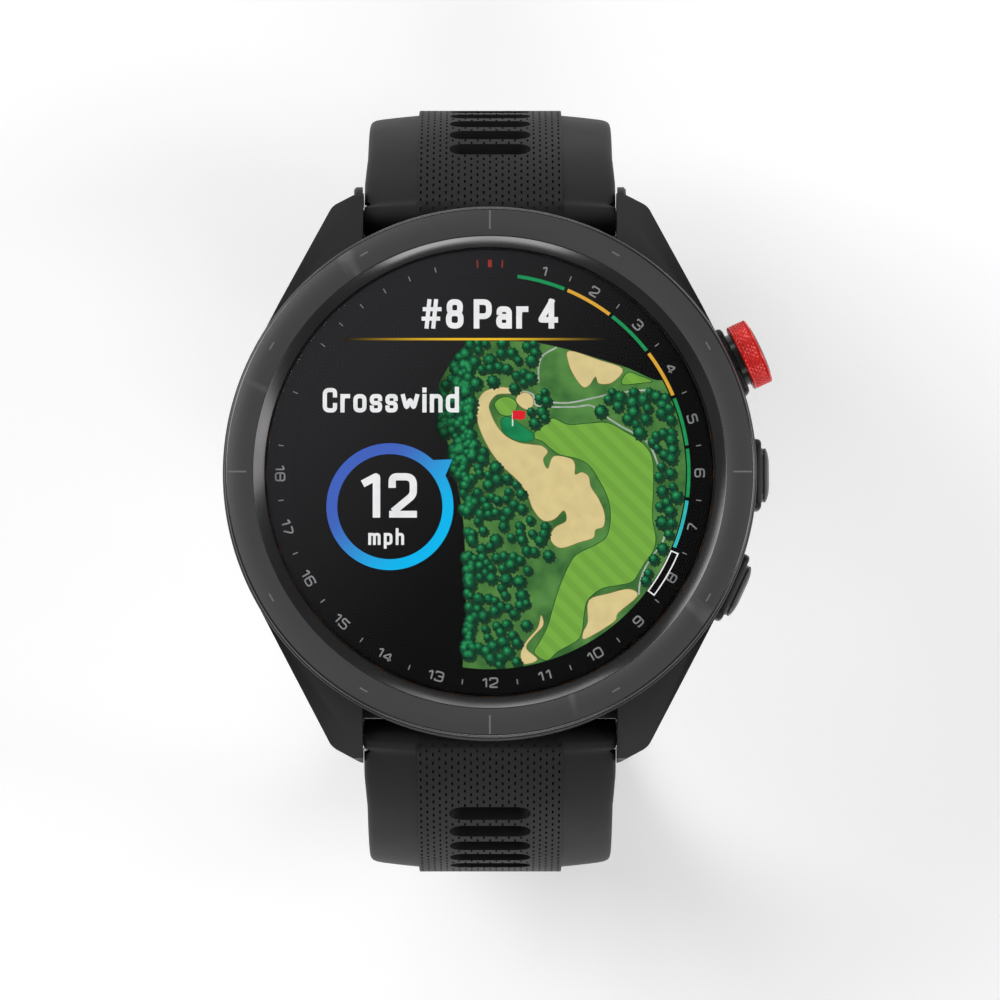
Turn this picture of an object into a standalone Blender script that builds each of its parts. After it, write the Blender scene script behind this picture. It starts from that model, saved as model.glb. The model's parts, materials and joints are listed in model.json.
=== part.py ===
"""A golf GPS watch, as an assembly of separate pieces with real joints.

The watch lies face up with its strap unfastened: the long strap half curves down and lies flat on the
table, and the short half, with the buckle, curves in above it. +Z is up through the dial, +Y points to
12 o'clock and +X to 3 o'clock, where the buttons are. The origin is on the table under the case's axis.

All sizes are in millimetres, and finish() turns each mesh into metres. Heights inside the case are
measured from the back of the sensor window and lifted to their place by CASE_LIFT.
"""

import math

import bmesh
import bpy
from mathutils import Matrix, Vector

MM = 0.001

# The case
CASE_THICKNESS = 13.9
CASE_RADIUS = 23.5
CASE_BORE = 20.6
CASE_FOOT_BORE = 19.4
CASE_FOOT = 1.9
CASE_FOOT_TOP = 3.5
CASE_TOP = 12.2
TOTAL_HEIGHT = 69.0
CASE_LIFT = TOTAL_HEIGHT - CASE_THICKNESS
GAP = 0.15

# The bezel, the glass and what lies under it
BEZEL_RADIUS = 23.28
BEZEL_FLAT_RADIUS = 20.73
BEZEL_INNER_RADIUS = 19.76
BEZEL_LIP = 13.25
LENS_RADIUS = 19.6
LENS_BOTTOM = 11.8
LENS_TOP = 13.15
DIAL_RING_INNER = 17.4
DISPLAY_RADIUS = 18.2
DISPLAY_BOTTOM = 9.4
DISPLAY_TOP = 11.2
FRAME_RADIUS = 19.1
FRAME_BOTTOM = 8.8
BOARD_RADIUS = 19.3
BOARD_BOTTOM = 5.9
BOARD_TOP = 6.6
BATTERY_SIZE = (27.0, 21.0, 2.4)
BATTERY_BOTTOM = 3.3

# The back
COVER_RADIUS = 21.7
COVER_BOTTOM = 0.6
COVER_TOP = 1.7
COVER_PLUG_RADIUS = 18.1
COVER_PLUG_TOP = 2.3
WINDOW_RADIUS = 7.6
SCREW_CIRCLE = 20.4
SOCKET_Y = -14.6
SOCKET_SIZE = (9.0, 3.6)
CONTACT_PITCH = 1.7

# The lugs, and the pins that hold the strap
FLANK_ANGLE = math.radians(30)
LUG_CORNER = (14.0, 24.0)
LUG_TIP = (11.4, 25.4)
LUG_GAP = 11.25
LUG_TOP_HIGH = 10.4
LUG_TOP_LOW = 6.4
LUG_END_RADIUS = 1.8
PIN_Y = 23.6
PIN_HEIGHT = 3.8
PIN_RADIUS = 0.75
PIN_REACH = 12.6
BOSS_RADIUS = 2.35

# The strap: one circle about LOOP_HEIGHT carries both halves away from the case
STRAP_HALF = 11.0
LOOP_RADIUS = 35.0
LOOP_HEIGHT = 35.7
LEAVE_ANGLE = 45.5
BAND_HALF = 6.45
BAND_RISE = 0.45
SLOT_HALF = 3.72
SLOT_LENGTH = 2.1
SLOT_PITCH = 3.25
FIRST_SLOT = 7.94
BARREL_RADIUS = 1.85
NARROW_HALF = 10.0
NARROWS_FROM = 25.0
NARROWS_BY = 31.0
LONG_STRAP = 118.0
VENT_SLOTS = 5
FIRST_ADJUSTING_SLOT = 16
TIP_LENGTH = 9.0
CURL_RADIUS = 20.0
CURL_START = 95.0
CURL_END = 169.5
TAIL_ARCS = ((LOOP_RADIUS, LEAVE_ANGLE, 92.0), (120.0, 92.0, 100.5))

# The buckle and the keepers
BUCKLE_PIN_RADIUS = 0.7
BUCKLE_BARREL = 1.45
BUCKLE_HALF = 12.3
BUCKLE_LENGTH = 12.4
BUCKLE_ARM = 1.65
BUCKLE_THICK = 2.0
TONGUE_HALF = 3.3
KEEPER_WIDTH = 5.0
KEEPER_WALL = 0.9
KEEPER_ROOM = 3.3
FIXED_KEEPER_ANGLE = 150.0
FREE_KEEPER_ANGLE = 127.0

# The buttons: angle anticlockwise from 3 o'clock
BUTTON_ANGLES = {"action": 25.0, "menu": 0.0, "back": -25.0}
BUTTON_HEIGHT = 7.6
GUARD_SIZE = (6.3, 4.8)
GUARD_RADIUS = 23.95
PUSHER_SIZE = (4.8, 3.2)
STEM_RADIUS = 0.7
SPRING_FLOOR = 21.2

ROUND_STEPS = 56
INNER_STEPS = 36


# ---------------------------------------------------------------- shapes


def new_object(name, bm):
    """An object from a closed bmesh, with its faces turned outward."""
    bmesh.ops.recalc_face_normals(bm, faces=bm.faces)
    mesh = bpy.data.meshes.new(name)
    bm.to_mesh(mesh)
    bm.free()
    obj = bpy.data.objects.new(name, mesh)
    bpy.context.scene.collection.objects.link(obj)
    return obj


def turned(name, profile, steps=INNER_STEPS, matrix=None):
    """The closed outline of (radius, height) points, spun round Z. Points at radius 0 become poles."""
    bm = bmesh.new()
    rings = []
    for radius, height in profile:
        if radius < 1e-6:
            rings.append([bm.verts.new((0, 0, height))])
            continue
        angles = [2 * math.pi * i / steps for i in range(steps)]
        places = [(radius * math.cos(a), radius * math.sin(a), height) for a in angles]
        rings.append([bm.verts.new(place) for place in places])
    for low, high in zip(rings, rings[1:] + rings[:1]):
        if len(low) == 1 and len(high) == 1:
            continue
        for i in range(steps):
            j = (i + 1) % steps
            if len(low) == 1:
                bm.faces.new((low[0], high[i], high[j]))
            elif len(high) == 1:
                bm.faces.new((low[i], low[j], high[0]))
            else:
                bm.faces.new((low[i], low[j], high[j], high[i]))
    if matrix is not None:
        bm.transform(matrix)
    return new_object(name, bm)


def ring(name, inner, outer, low, high, steps=INNER_STEPS):
    return turned(name, [(inner, low), (outer, low), (outer, high), (inner, high)], steps)


def disc(name, radius, low, high, steps=INNER_STEPS, matrix=None):
    return turned(name, [(0, low), (radius, low), (radius, high), (0, high)], steps, matrix)


def prism(name, outline, low, high, matrix=None):
    """The outline of (x, y) points, extruded from low to high along Z."""
    bm = bmesh.new()
    base = [bm.verts.new((x, y, low)) for x, y in outline]
    lid = [bm.verts.new((x, y, high)) for x, y in outline]
    bm.faces.new(base[::-1])
    bm.faces.new(lid)
    for i in range(len(base)):
        j = (i + 1) % len(base)
        bm.faces.new((base[i], base[j], lid[j], lid[i]))
    if matrix is not None:
        bm.transform(matrix)
    return new_object(name, bm)


def rounded(outline, radius, steps=3):
    """The outline with each corner replaced by an arc."""
    points = []
    for i, corner in enumerate(outline):
        here = Vector(corner)
        back = Vector(outline[i - 1]) - here
        ahead = Vector(outline[(i + 1) % len(outline)]) - here
        half = back.angle(ahead) / 2
        reach = min(radius / math.tan(half), 0.45 * back.length, 0.45 * ahead.length)
        start = here + back.normalized() * reach
        end = here + ahead.normalized() * reach
        for k in range(steps + 1):
            t = k / steps
            bend = (1 - t) ** 2 * start + 2 * t * (1 - t) * here + t * t * end
            points.append(tuple(bend))
    return points


def rectangle(half_x, half_y, x=0.0, y=0.0):
    corners = ((-half_x, -half_y), (half_x, -half_y), (half_x, half_y), (-half_x, half_y))
    return [(x + dx, y + dy) for dx, dy in corners]


def block(name, size, centre, matrix=None, corner=0.0):
    """A box with its corners rounded in plan."""
    outline = rectangle(size[0] / 2, size[1] / 2, centre[0], centre[1])
    if corner:
        outline = rounded(outline, corner)
    return prism(name, outline, centre[2] - size[2] / 2, centre[2] + size[2] / 2, matrix)


def combine(obj, other, operation):
    """Joins other to obj or cuts it from obj, and removes it."""
    modifier = obj.modifiers.new(operation.lower(), "BOOLEAN")
    modifier.operation = operation
    modifier.solver = "EXACT"
    modifier.object = other
    bpy.context.view_layer.update()
    graph = bpy.context.evaluated_depsgraph_get()
    mesh = bpy.data.meshes.new_from_object(obj.evaluated_get(graph))
    obj.modifiers.clear()
    obj.data = mesh
    bpy.data.objects.remove(other)
    return obj


def joined(obj, *others):
    for other in others:
        combine(obj, other, "UNION")
    return obj


def cut(obj, *others):
    for other in others:
        combine(obj, other, "DIFFERENCE")
    return obj


def along_x(y, z):
    """Turns +Z to +X, with the axis through (y, z)."""
    return Matrix.Translation((0, y, z)) @ Matrix.Rotation(math.radians(90), 4, "Y")


def along_radius(angle):
    """Turns +Z to the outward radius at this angle on the dial, at the buttons' height. Local X points down."""
    turn = Matrix.Rotation(math.radians(angle), 4, "Z")
    return turn @ Matrix.Translation((0, 0, BUTTON_HEIGHT)) @ Matrix.Rotation(math.radians(90), 4, "Y")


# ---------------------------------------------------------------- finishing


def material(name, colour, roughness, metallic=0.0):
    made = bpy.data.materials.new(name)
    made.use_nodes = True
    shader = made.node_tree.nodes["Principled BSDF"]
    shader.inputs["Base Color"].default_value = (*colour, 1.0)
    shader.inputs["Roughness"].default_value = roughness
    shader.inputs["Metallic"].default_value = metallic
    made.diffuse_color = (*colour, 1.0)
    return made


def finish(obj, colour, roughness, metallic=0.0, lift=0.0, pivot=None):
    """Lifts the object, gives it its material, and turns it into metres, with its origin on its pivot empty."""
    obj.data.transform(Matrix.Translation((0, 0, lift)))
    if pivot is not None:
        obj.data.transform(Matrix.Translation([-v / MM for v in pivot.location]))
        obj.parent = pivot
    obj.data.transform(Matrix.Scale(MM, 4))
    obj.data.materials.clear()
    obj.data.materials.append(material(obj.name, colour, roughness, metallic))
    obj.data.shade_smooth()
    obj.data.set_sharp_from_angle(angle=math.radians(35))
    return obj


def pivot_empty(name, x, y, z):
    """An empty on a joint's axis, at a place in millimetres."""
    empty = bpy.data.objects.new(name, None)
    empty.empty_display_size = 3 * MM
    empty.location = (x * MM, y * MM, z * MM)
    bpy.context.scene.collection.objects.link(empty)
    return empty


BLACK_PLASTIC = (0.02, 0.02, 0.021)
CASE_GREY = (0.028, 0.028, 0.03)
SILICONE = (0.017, 0.017, 0.018)
STEEL = (0.55, 0.55, 0.56)
SEAL = (0.03, 0.03, 0.035)


# ---------------------------------------------------------------- the case


def lug_block():
    """All four lugs in one block: the plan outline, trimmed by the side outline."""
    flank = (CASE_RADIUS * math.cos(FLANK_ANGLE), CASE_RADIUS * math.sin(FLANK_ANGLE))
    quarter = [flank, LUG_CORNER, LUG_TIP]
    right = [(x, -y) for x, y in quarter[::-1]] + quarter
    outline = rounded(right + [(-x, -y) for x, y in right], 1.6)
    plan = prism("lugs", outline, CASE_FOOT, CASE_TOP)
    end = [
        (PIN_Y + LUG_END_RADIUS * math.sin(a), PIN_HEIGHT + LUG_END_RADIUS * math.cos(a))
        for a in (math.radians(d) for d in range(60, 181, 20))
    ]
    half = [(0, LUG_TOP_HIGH), (15.0, LUG_TOP_HIGH), (25.0, LUG_TOP_LOW)]
    half += end + [(0, PIN_HEIGHT - LUG_END_RADIUS)]
    side = half + [(-y, z) for y, z in half[-2:0:-1]]
    # The outline lies in Y and Z, so the prism is turned to run along X.
    turn = Matrix(((0, 0, 1, 0), (1, 0, 0, 0), (0, 1, 0, 0), (0, 0, 0, 1)))
    combine(plan, prism("lug_side", side, -25, 25, turn), "INTERSECT")
    return cut(plan, lug_gap(1), lug_gap(-1))


def lug_gap(sign):
    """The open room above the strap's end, between a pair of lugs and up to the round case."""
    clear = BARREL_RADIUS + 0.35
    shelf = PIN_HEIGHT + clear
    top = CASE_TOP + 1
    outline = [(10.0, shelf), (PIN_Y - clear, shelf), (PIN_Y - clear, PIN_HEIGHT), (PIN_Y + 8.0, PIN_HEIGHT)]
    outline += [(PIN_Y + 8.0, top), (10.0, top)]
    turn = Matrix(((0, 0, 1, 0), (sign, 0, 0, 0), (0, 1, 0, 0), (0, 0, 0, 1)))
    return prism("gap", outline, -LUG_GAP, LUG_GAP, turn)


def strap_pocket(sign):
    """The room between a pair of lugs: a round seat about the pin, open outward and downward."""
    clear = BARREL_RADIUS + 0.35
    arc = [math.radians(d) for d in range(0, 91, 15)]
    outline = [(PIN_Y - clear * math.sin(a), PIN_HEIGHT + clear * math.cos(a)) for a in arc]
    outline += [(PIN_Y - clear, -3.0), (PIN_Y + 8.0, -3.0), (PIN_Y + 8.0, PIN_HEIGHT + clear)]
    turn = Matrix(((0, 0, 1, 0), (sign, 0, 0, 0), (0, 1, 0, 0), (0, 0, 0, 1)))
    return prism("pocket", outline, -LUG_GAP, LUG_GAP, turn)


def button_bore(angle, is_round):
    """The hole of one button, from outside: the pusher's pocket, the spring's room and the stem's hole."""
    place = along_radius(angle)
    if is_round:
        pocket = disc("pocket", 2.55, 22.7, 26.0, 32, place)
    else:
        size = (PUSHER_SIZE[1] + 2 * GAP, PUSHER_SIZE[0] + 2 * GAP, 4.0)
        pocket = block("pocket", size, (0, 0, 24.5), place, 1.4)
    bore = [(0, 20.0), (STEM_RADIUS + 0.1, 20.0), (STEM_RADIUS + 0.1, SPRING_FLOOR), (2.0, SPRING_FLOOR)]
    bore += [(2.0, 23.0), (0, 23.0)]
    return joined(pocket, turned("bore", bore, 24, place))


def screw_places():
    for k in range(4):
        a = math.radians(45 + 90 * k)
        yield k + 1, SCREW_CIRCLE * math.cos(a), SCREW_CIRCLE * math.sin(a)


def make_case_body():
    profile = [(0, CASE_FOOT), (21.9, CASE_FOOT), (23.1, 3.5), (CASE_RADIUS, 5.4)]
    profile += [(CASE_RADIUS, CASE_TOP - 0.4), (CASE_RADIUS - 0.2, CASE_TOP), (0, CASE_TOP)]
    body = turned("case_body", profile, ROUND_STEPS)
    joined(body, lug_block())
    for sign in (-1, 1):
        pin_axis = along_x(PIN_Y, PIN_HEIGHT)
        boss = disc("boss", BOSS_RADIUS, LUG_GAP + 0.05, LUG_GAP + 0.85, 24, pin_axis)
        boss.data.transform(Matrix.Scale(sign, 4, (1, 0, 0)))
        if sign < 0:
            boss.data.flip_normals()
        joined(body, boss)
    for angle in BUTTON_ANGLES.values():
        size = (GUARD_SIZE[1], GUARD_SIZE[0], GUARD_RADIUS - 21.5)
        centre = (0, 0, (GUARD_RADIUS + 21.5) / 2)
        joined(body, block("guard", size, centre, along_radius(angle), 1.0))
    bore = [(0, 0), (CASE_FOOT_BORE, 0), (CASE_FOOT_BORE, CASE_FOOT_TOP), (CASE_BORE, CASE_FOOT_TOP)]
    bore += [(CASE_BORE, CASE_TOP + 1), (0, CASE_TOP + 1)]
    cut(body, turned("bore", bore, ROUND_STEPS))
    cut(body, ring("groove", 21.3, 22.3, CASE_TOP - 0.5, CASE_TOP + 1, ROUND_STEPS))
    for sign in (-1, 1):
        cut(body, strap_pocket(sign))
        cut(body, disc("pin_hole", PIN_RADIUS + 0.2, -13.0, 13.0, 20, along_x(sign * PIN_Y, PIN_HEIGHT)))
    for name, angle in BUTTON_ANGLES.items():
        cut(body, button_bore(angle, name == "action"))
    for _, x, y in screw_places():
        cut(body, disc("screw_hole", 0.55, 1.0, 3.4, 12, Matrix.Translation((x, y, 0))))
    finish(body, CASE_GREY, 0.5, 0.1, CASE_LIFT)


def make_bezel():
    profile = [(BEZEL_INNER_RADIUS, CASE_TOP + GAP), (BEZEL_RADIUS, CASE_TOP + GAP)]
    profile += [(BEZEL_RADIUS, CASE_THICKNESS - 0.22), (BEZEL_RADIUS - 0.22, CASE_THICKNESS)]
    profile += [(BEZEL_FLAT_RADIUS, CASE_THICKNESS), (BEZEL_INNER_RADIUS, BEZEL_LIP)]
    finish(turned("bezel", profile, ROUND_STEPS), (0.075, 0.075, 0.078), 0.38, 0.75, CASE_LIFT)
    seal = ring("bezel_seal", 21.45, 22.15, CASE_TOP - 0.4, CASE_TOP + 0.05)
    finish(seal, SEAL, 0.7, 0.0, CASE_LIFT)


def make_glass_and_display():
    edge = 0.25
    profile = [(0, LENS_BOTTOM), (LENS_RADIUS - edge, LENS_BOTTOM), (LENS_RADIUS, LENS_BOTTOM + edge)]
    profile += [(LENS_RADIUS, LENS_TOP - edge), (LENS_RADIUS - edge, LENS_TOP), (0, LENS_TOP)]
    finish(turned("lens", profile, ROUND_STEPS), (0.05, 0.05, 0.055), 0.05, 0.0, CASE_LIFT)
    gasket = ring("lens_gasket", LENS_RADIUS + GAP, CASE_BORE - GAP, 11.25, CASE_TOP - 0.05)
    finish(gasket, SEAL, 0.7, 0.0, CASE_LIFT)
    dial = ring("dial_ring", DIAL_RING_INNER, LENS_RADIUS - 0.1, DISPLAY_TOP + GAP, LENS_BOTTOM - GAP)
    finish(dial, (0.01, 0.01, 0.01), 0.4, 0.0, CASE_LIFT)
    panel = disc("display_panel", DISPLAY_RADIUS, DISPLAY_BOTTOM, DISPLAY_TOP)
    finish(panel, (0.02, 0.05, 0.03), 0.3, 0.0, CASE_LIFT)


def make_inner_frame():
    rim = DISPLAY_RADIUS + GAP
    floor = DISPLAY_BOTTOM - GAP
    profile = [(5.0, FRAME_BOTTOM), (FRAME_RADIUS, FRAME_BOTTOM), (FRAME_RADIUS, DISPLAY_TOP - 0.2)]
    profile += [(rim, DISPLAY_TOP - 0.2), (rim, floor), (5.0, floor)]
    finish(turned("inner_frame", profile), (0.12, 0.12, 0.13), 0.6, 0.0, CASE_LIFT)
    antenna = ring("antenna_ring", FRAME_RADIUS + 0.2, CASE_BORE - 0.3, FRAME_BOTTOM + 0.5, DISPLAY_TOP - 0.4)
    finish(antenna, (0.75, 0.45, 0.2), 0.35, 0.9, CASE_LIFT)


def make_electronics():
    board = disc("main_board", BOARD_RADIUS, BOARD_BOTTOM, BOARD_TOP)
    for size, x, y in (((8, 8, 1.3), -5, 4), ((5, 6, 1.1), 6, -4), ((4, 4, 1.0), -4, -7), ((3, 5, 1.0), 8, 6)):
        joined(board, block("chip", size, (x, y, BOARD_TOP + size[2] / 2 - 0.05)))
    finish(board, (0.02, 0.14, 0.07), 0.5, 0.0, CASE_LIFT)
    centre = (0, 0, BATTERY_BOTTOM + BATTERY_SIZE[2] / 2)
    finish(block("battery", BATTERY_SIZE, centre, None, 2.0), (0.6, 0.6, 0.62), 0.35, 0.6, CASE_LIFT)
    motor = disc("vibration_motor", 3.4, 3.4, 5.6, 32, Matrix.Translation((0, 15.0, 0)))
    finish(motor, (0.6, 0.6, 0.6), 0.3, 0.9, CASE_LIFT)
    barometer = disc("barometer", 1.7, 3.6, 5.4, 24, Matrix.Translation((-16.6, 0, 0)))
    finish(barometer, (0.5, 0.5, 0.5), 0.35, 0.9, CASE_LIFT)
    sensor = disc("sensor_board", 7.0, COVER_PLUG_TOP + 0.35, 3.1)
    finish(sensor, (0.02, 0.12, 0.2), 0.5, 0.0, CASE_LIFT)


def make_back():
    profile = [(WINDOW_RADIUS + GAP, COVER_BOTTOM), (COVER_RADIUS - 0.4, COVER_BOTTOM)]
    profile += [(COVER_RADIUS, COVER_BOTTOM + 0.4), (COVER_RADIUS, COVER_TOP), (COVER_PLUG_RADIUS, COVER_TOP)]
    profile += [(COVER_PLUG_RADIUS, COVER_PLUG_TOP), (WINDOW_RADIUS + GAP, COVER_PLUG_TOP)]
    cover = turned("back_cover", profile, ROUND_STEPS)
    hole = (SOCKET_SIZE[0] + 2 * GAP, SOCKET_SIZE[1] + 2 * GAP, 4.0)
    cut(cover, block("socket_hole", hole, (0, SOCKET_Y, 1.5), None, 1.0))
    for _, x, y in screw_places():
        profile = [(0, 0), (1.1, 0), (1.1, 1.15), (0.55, 1.15), (0.55, 3.0), (0, 3.0)]
        cut(cover, turned("screw_hole", profile, 16, Matrix.Translation((x, y, 0))))
    finish(cover, BLACK_PLASTIC, 0.45, 0.0, CASE_LIFT)
    seal = ring("back_cover_seal", COVER_PLUG_RADIUS + GAP, CASE_FOOT_BORE - GAP, COVER_TOP + GAP, 2.35)
    finish(seal, SEAL, 0.7, 0.0, CASE_LIFT)
    for number, x, y in screw_places():
        profile = [(0, 0.65), (0.95, 0.65), (0.95, 1.05), (0.42, 1.1), (0.42, 3.1), (0, 3.1)]
        screw = turned(f"back_screw_{number}", profile, 16, Matrix.Translation((x, y, 0)))
        finish(screw, STEEL, 0.3, 1.0, CASE_LIFT)
    profile = [(0, 0), (5.5, 0), (6.8, 0.22), (WINDOW_RADIUS, 0.7), (WINDOW_RADIUS, 2.1), (0, 2.1)]
    finish(turned("sensor_window", profile), (0.01, 0.01, 0.012), 0.08, 0.0, CASE_LIFT)


def contact_places():
    for k in range(4):
        yield k + 1, (k - 1.5) * CONTACT_PITCH


def make_charge_socket():
    socket = block("charge_socket", (*SOCKET_SIZE, 1.45), (0, SOCKET_Y, 1.375), None, 0.9)
    cut(socket, block("recess", (7.6, 2.2, 1.4), (0, SOCKET_Y, 0.65), None, 0.7))
    for _, x in contact_places():
        cut(socket, disc("contact_hole", 0.42, 0.5, 3.0, 12, Matrix.Translation((x, SOCKET_Y, 0))))
    finish(socket, BLACK_PLASTIC, 0.5, 0.0, CASE_LIFT)
    for number, x in contact_places():
        pin = disc(f"charge_contact_{number}", 0.3, 0.85, 2.8, 12, Matrix.Translation((x, SOCKET_Y, 0)))
        finish(pin, (0.9, 0.65, 0.25), 0.25, 1.0, CASE_LIFT)


# ---------------------------------------------------------------- the buttons


def coil(name, radius, wire, low, high, turns, matrix):
    """A compression spring: a thin tube along a helix, with flat ends."""
    around, per_turn = 5, 10
    count = int(turns * per_turn)
    bm = bmesh.new()
    rows = []
    for i in range(count + 1):
        a = 2 * math.pi * i / per_turn
        z = low + wire + (high - low - 2 * wire) * i / count
        row = []
        for k in range(around):
            b = 2 * math.pi * k / around
            r = radius + wire * math.cos(b)
            row.append(bm.verts.new((r * math.cos(a), r * math.sin(a), z + wire * math.sin(b))))
        rows.append(row)
    for lower, upper in zip(rows, rows[1:]):
        for k in range(around):
            m = (k + 1) % around
            bm.faces.new((lower[k], lower[m], upper[m], upper[k]))
    bm.faces.new(rows[0])
    bm.faces.new(rows[-1])
    bm.transform(matrix)
    return new_object(name, bm)


def make_button_core(name, place, pivot, stem_top):
    """What every button holds: a stem, its seal, its clip and its return spring."""
    stem = disc(f"{name}_stem", STEM_RADIUS, 20.05, stem_top, 16, place)
    finish(stem, STEEL, 0.3, 1.0, CASE_LIFT, pivot)
    seal = turned(f"{name}_seal", [(0.78, 21.9), (1.25, 21.9), (1.25, 22.4), (0.78, 22.4)], 16, place)
    finish(seal, SEAL, 0.7, 0.0, CASE_LIFT, pivot)
    clip = turned(f"{name}_clip", [(0.78, 20.2), (1.3, 20.2), (1.3, 20.4), (0.78, 20.4)], 16, place)
    finish(clip, STEEL, 0.3, 1.0, CASE_LIFT, pivot)
    spring = coil(f"{name}_spring", 1.66, 0.14, SPRING_FLOOR + 0.1, 22.85, 3, place)
    finish(spring, STEEL, 0.3, 1.0, CASE_LIFT, pivot)


def make_action_button():
    """The round pusher at upper right: a neck, a knurled ring and a domed cap."""
    place = along_radius(BUTTON_ANGLES["action"])
    pivot = button_pivot("action", BUTTON_ANGLES["action"])
    make_button_core("action", place, pivot, 22.95)
    neck = disc("action_neck", 2.4, 23.1, 25.85, 32, place)
    finish(neck, (0.03, 0.03, 0.03), 0.35, 0.6, CASE_LIFT, pivot)
    knurl = [(2.55, 24.45), (2.85, 24.45), (3.0, 24.6), (3.0, 26.1), (2.85, 26.25), (2.55, 26.25)]
    finish(turned("action_ring", knurl, 40, place), (0.5, 0.02, 0.015), 0.35, 0.5, CASE_LIFT, pivot)
    dome = [(0, 26.0), (2.4, 26.0), (2.4, 26.3), (1.8, 26.43), (0.9, 26.5), (0, 26.52)]
    finish(turned("action_cap", dome, 32, place), (0.02, 0.02, 0.02), 0.3, 0.2, CASE_LIFT, pivot)


def make_flat_button(name):
    """A flat pusher: a rounded slab with a bevelled face."""
    place = along_radius(BUTTON_ANGLES[name])
    pivot = button_pivot(name, BUTTON_ANGLES[name])
    make_button_core(name, place, pivot, 22.95)
    size = (PUSHER_SIZE[1], PUSHER_SIZE[0], 1.6)
    cap = block(f"{name}_cap", size, (0, 0, 23.1 + size[2] / 2), place, 1.3)
    finish(cap, (0.06, 0.06, 0.062), 0.35, 0.7, CASE_LIFT, pivot)


def button_pivot(name, angle):
    a = math.radians(angle)
    height = BUTTON_HEIGHT + CASE_LIFT
    return pivot_empty(f"{name}_button_axis", 23 * math.cos(a), 23 * math.sin(a), height)


def make_switches():
    for name, angle in BUTTON_ANGLES.items():
        place = along_radius(angle)
        switch = block(f"switch_{name}", (1.6, 3.2, 1.4), (0, 0, 18.4), place)
        joined(switch, disc("plunger", 0.55, 18.9, 19.45, 12, place))
        finish(switch, (0.7, 0.7, 0.68), 0.4, 0.2, CASE_LIFT)


# ---------------------------------------------------------------- the strap


def arc_length(radius, start, end):
    return radius * math.radians(end - start)


def path_from_arcs(arcs, straight=0.0):
    """A function that gives (y, z, angle) on a chain of arcs. The angle is the way the outer side faces, from +Z."""
    first = arcs[0]
    y = LOOP_RADIUS * math.sin(math.radians(first[1]))
    z = LOOP_HEIGHT + LOOP_RADIUS * math.cos(math.radians(first[1]))
    parts = []
    at = 0.0
    for radius, start, end in arcs:
        parts.append((at, radius, start, end, y, z))
        y += radius * (math.sin(math.radians(end)) - math.sin(math.radians(start)))
        z += radius * (math.cos(math.radians(end)) - math.cos(math.radians(start)))
        at += arc_length(radius, start, end)
    last = (at, arcs[-1][2], y, z)

    def place(s):
        if s >= last[0]:
            angle = math.radians(last[1])
            run = min(s - last[0], straight)
            return last[2] + run * math.cos(angle), last[3] - run * math.sin(angle), angle
        part = [p for p in parts if p[0] <= max(s, 0.0)][-1]
        start_at, radius, start, _, y0, z0 = part
        a0 = math.radians(start)
        a = a0 + (s - start_at) / radius
        return y0 + radius * (math.sin(a) - math.sin(a0)), z0 + radius * (math.cos(a) - math.cos(a0)), a

    return place, at


def strap_thickness(s):
    """Thick at the pin, thinner along the strap."""
    return 2.6 + 1.0 * max(0.0, 1 - s / 9.0) ** 1.5


def strap_half(s):
    """Half the strap's width: full at the lugs, narrower towards the buckle."""
    t = min(1.0, max(0.0, (s - NARROWS_FROM) / (NARROWS_BY - NARROWS_FROM)))
    return STRAP_HALF - (STRAP_HALF - NARROW_HALF) * t * t * (3 - 2 * t)


def strap_section(s, share):
    """Columns of (x, depth below the band's face): across the outer side, then back along the inner side."""
    thick = strap_thickness(s)
    half = strap_half(s)
    outer = [(-half, 1.5), (0.6 - half, 0.9), (-BAND_HALF - 0.08, BAND_RISE), (-BAND_HALF, 0.0)]
    outer += [(-SLOT_HALF, 0.0)]
    outer += [(-x, d) for x, d in outer[::-1]]
    inner = [(half, thick - 0.5), (half - 0.5, thick), (SLOT_HALF, thick), (-SLOT_HALF, thick)]
    inner += [(0.5 - half, thick), (-half, thick - 0.5)]
    return [(x * share, d) for x, d in outer + inner]


OUTER_SLOT_COLUMN = 4
INNER_SLOT_COLUMN = 12


def strap_body(name, place, length, slots, side, tip):
    """The strap swept along its path, with a through slot at each (start, end) in slots."""
    ends = [edge for slot in slots for edge in slot]
    plain = [s for s in frange(0.0, length, 3.0) if all(abs(s - e) > 0.8 for e in ends)]
    plain = [s for s in plain if not any(a < s < b for a, b in slots)]
    if tip:
        plain += [length - TIP_LENGTH * t for t in (0.62, 0.32, 0.12, 0.03)]
    stations = sorted(set(plain + ends + [length]))
    bm = bmesh.new()
    rows = []
    for s in stations:
        y, z, angle = place(s)
        share = 1.0
        if tip and s > length - TIP_LENGTH:
            t = (s - length + TIP_LENGTH) / TIP_LENGTH
            share = 0.45 + 0.55 * math.sqrt(max(0.0, 1 - t * t))
        row = []
        for x, depth in strap_section(s, share):
            row.append(bm.verts.new((x, side * (y - depth * math.sin(angle)), z - depth * math.cos(angle))))
        rows.append(row)
    starts = {round(a, 6) for a, _ in slots}
    count = len(rows[0])
    for i, (near, far) in enumerate(zip(rows, rows[1:])):
        open_here = round(stations[i], 6) in starts
        for k in range(count):
            m = (k + 1) % count
            if open_here and k in (OUTER_SLOT_COLUMN, INNER_SLOT_COLUMN):
                continue
            bm.faces.new((near[k], near[m], far[m], far[k]))
        if open_here:
            a, b, c, d = (OUTER_SLOT_COLUMN, OUTER_SLOT_COLUMN + 1, INNER_SLOT_COLUMN, INNER_SLOT_COLUMN + 1)
            bm.faces.new((near[a], near[b], near[c], near[d]))
            bm.faces.new((far[a], far[b], far[c], far[d]))
            bm.faces.new((near[a], far[a], far[d], near[d]))
            bm.faces.new((near[b], far[b], far[c], near[c]))
    bm.faces.new(rows[0])
    bm.faces.new(rows[-1])
    return new_object(name, bm)


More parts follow.
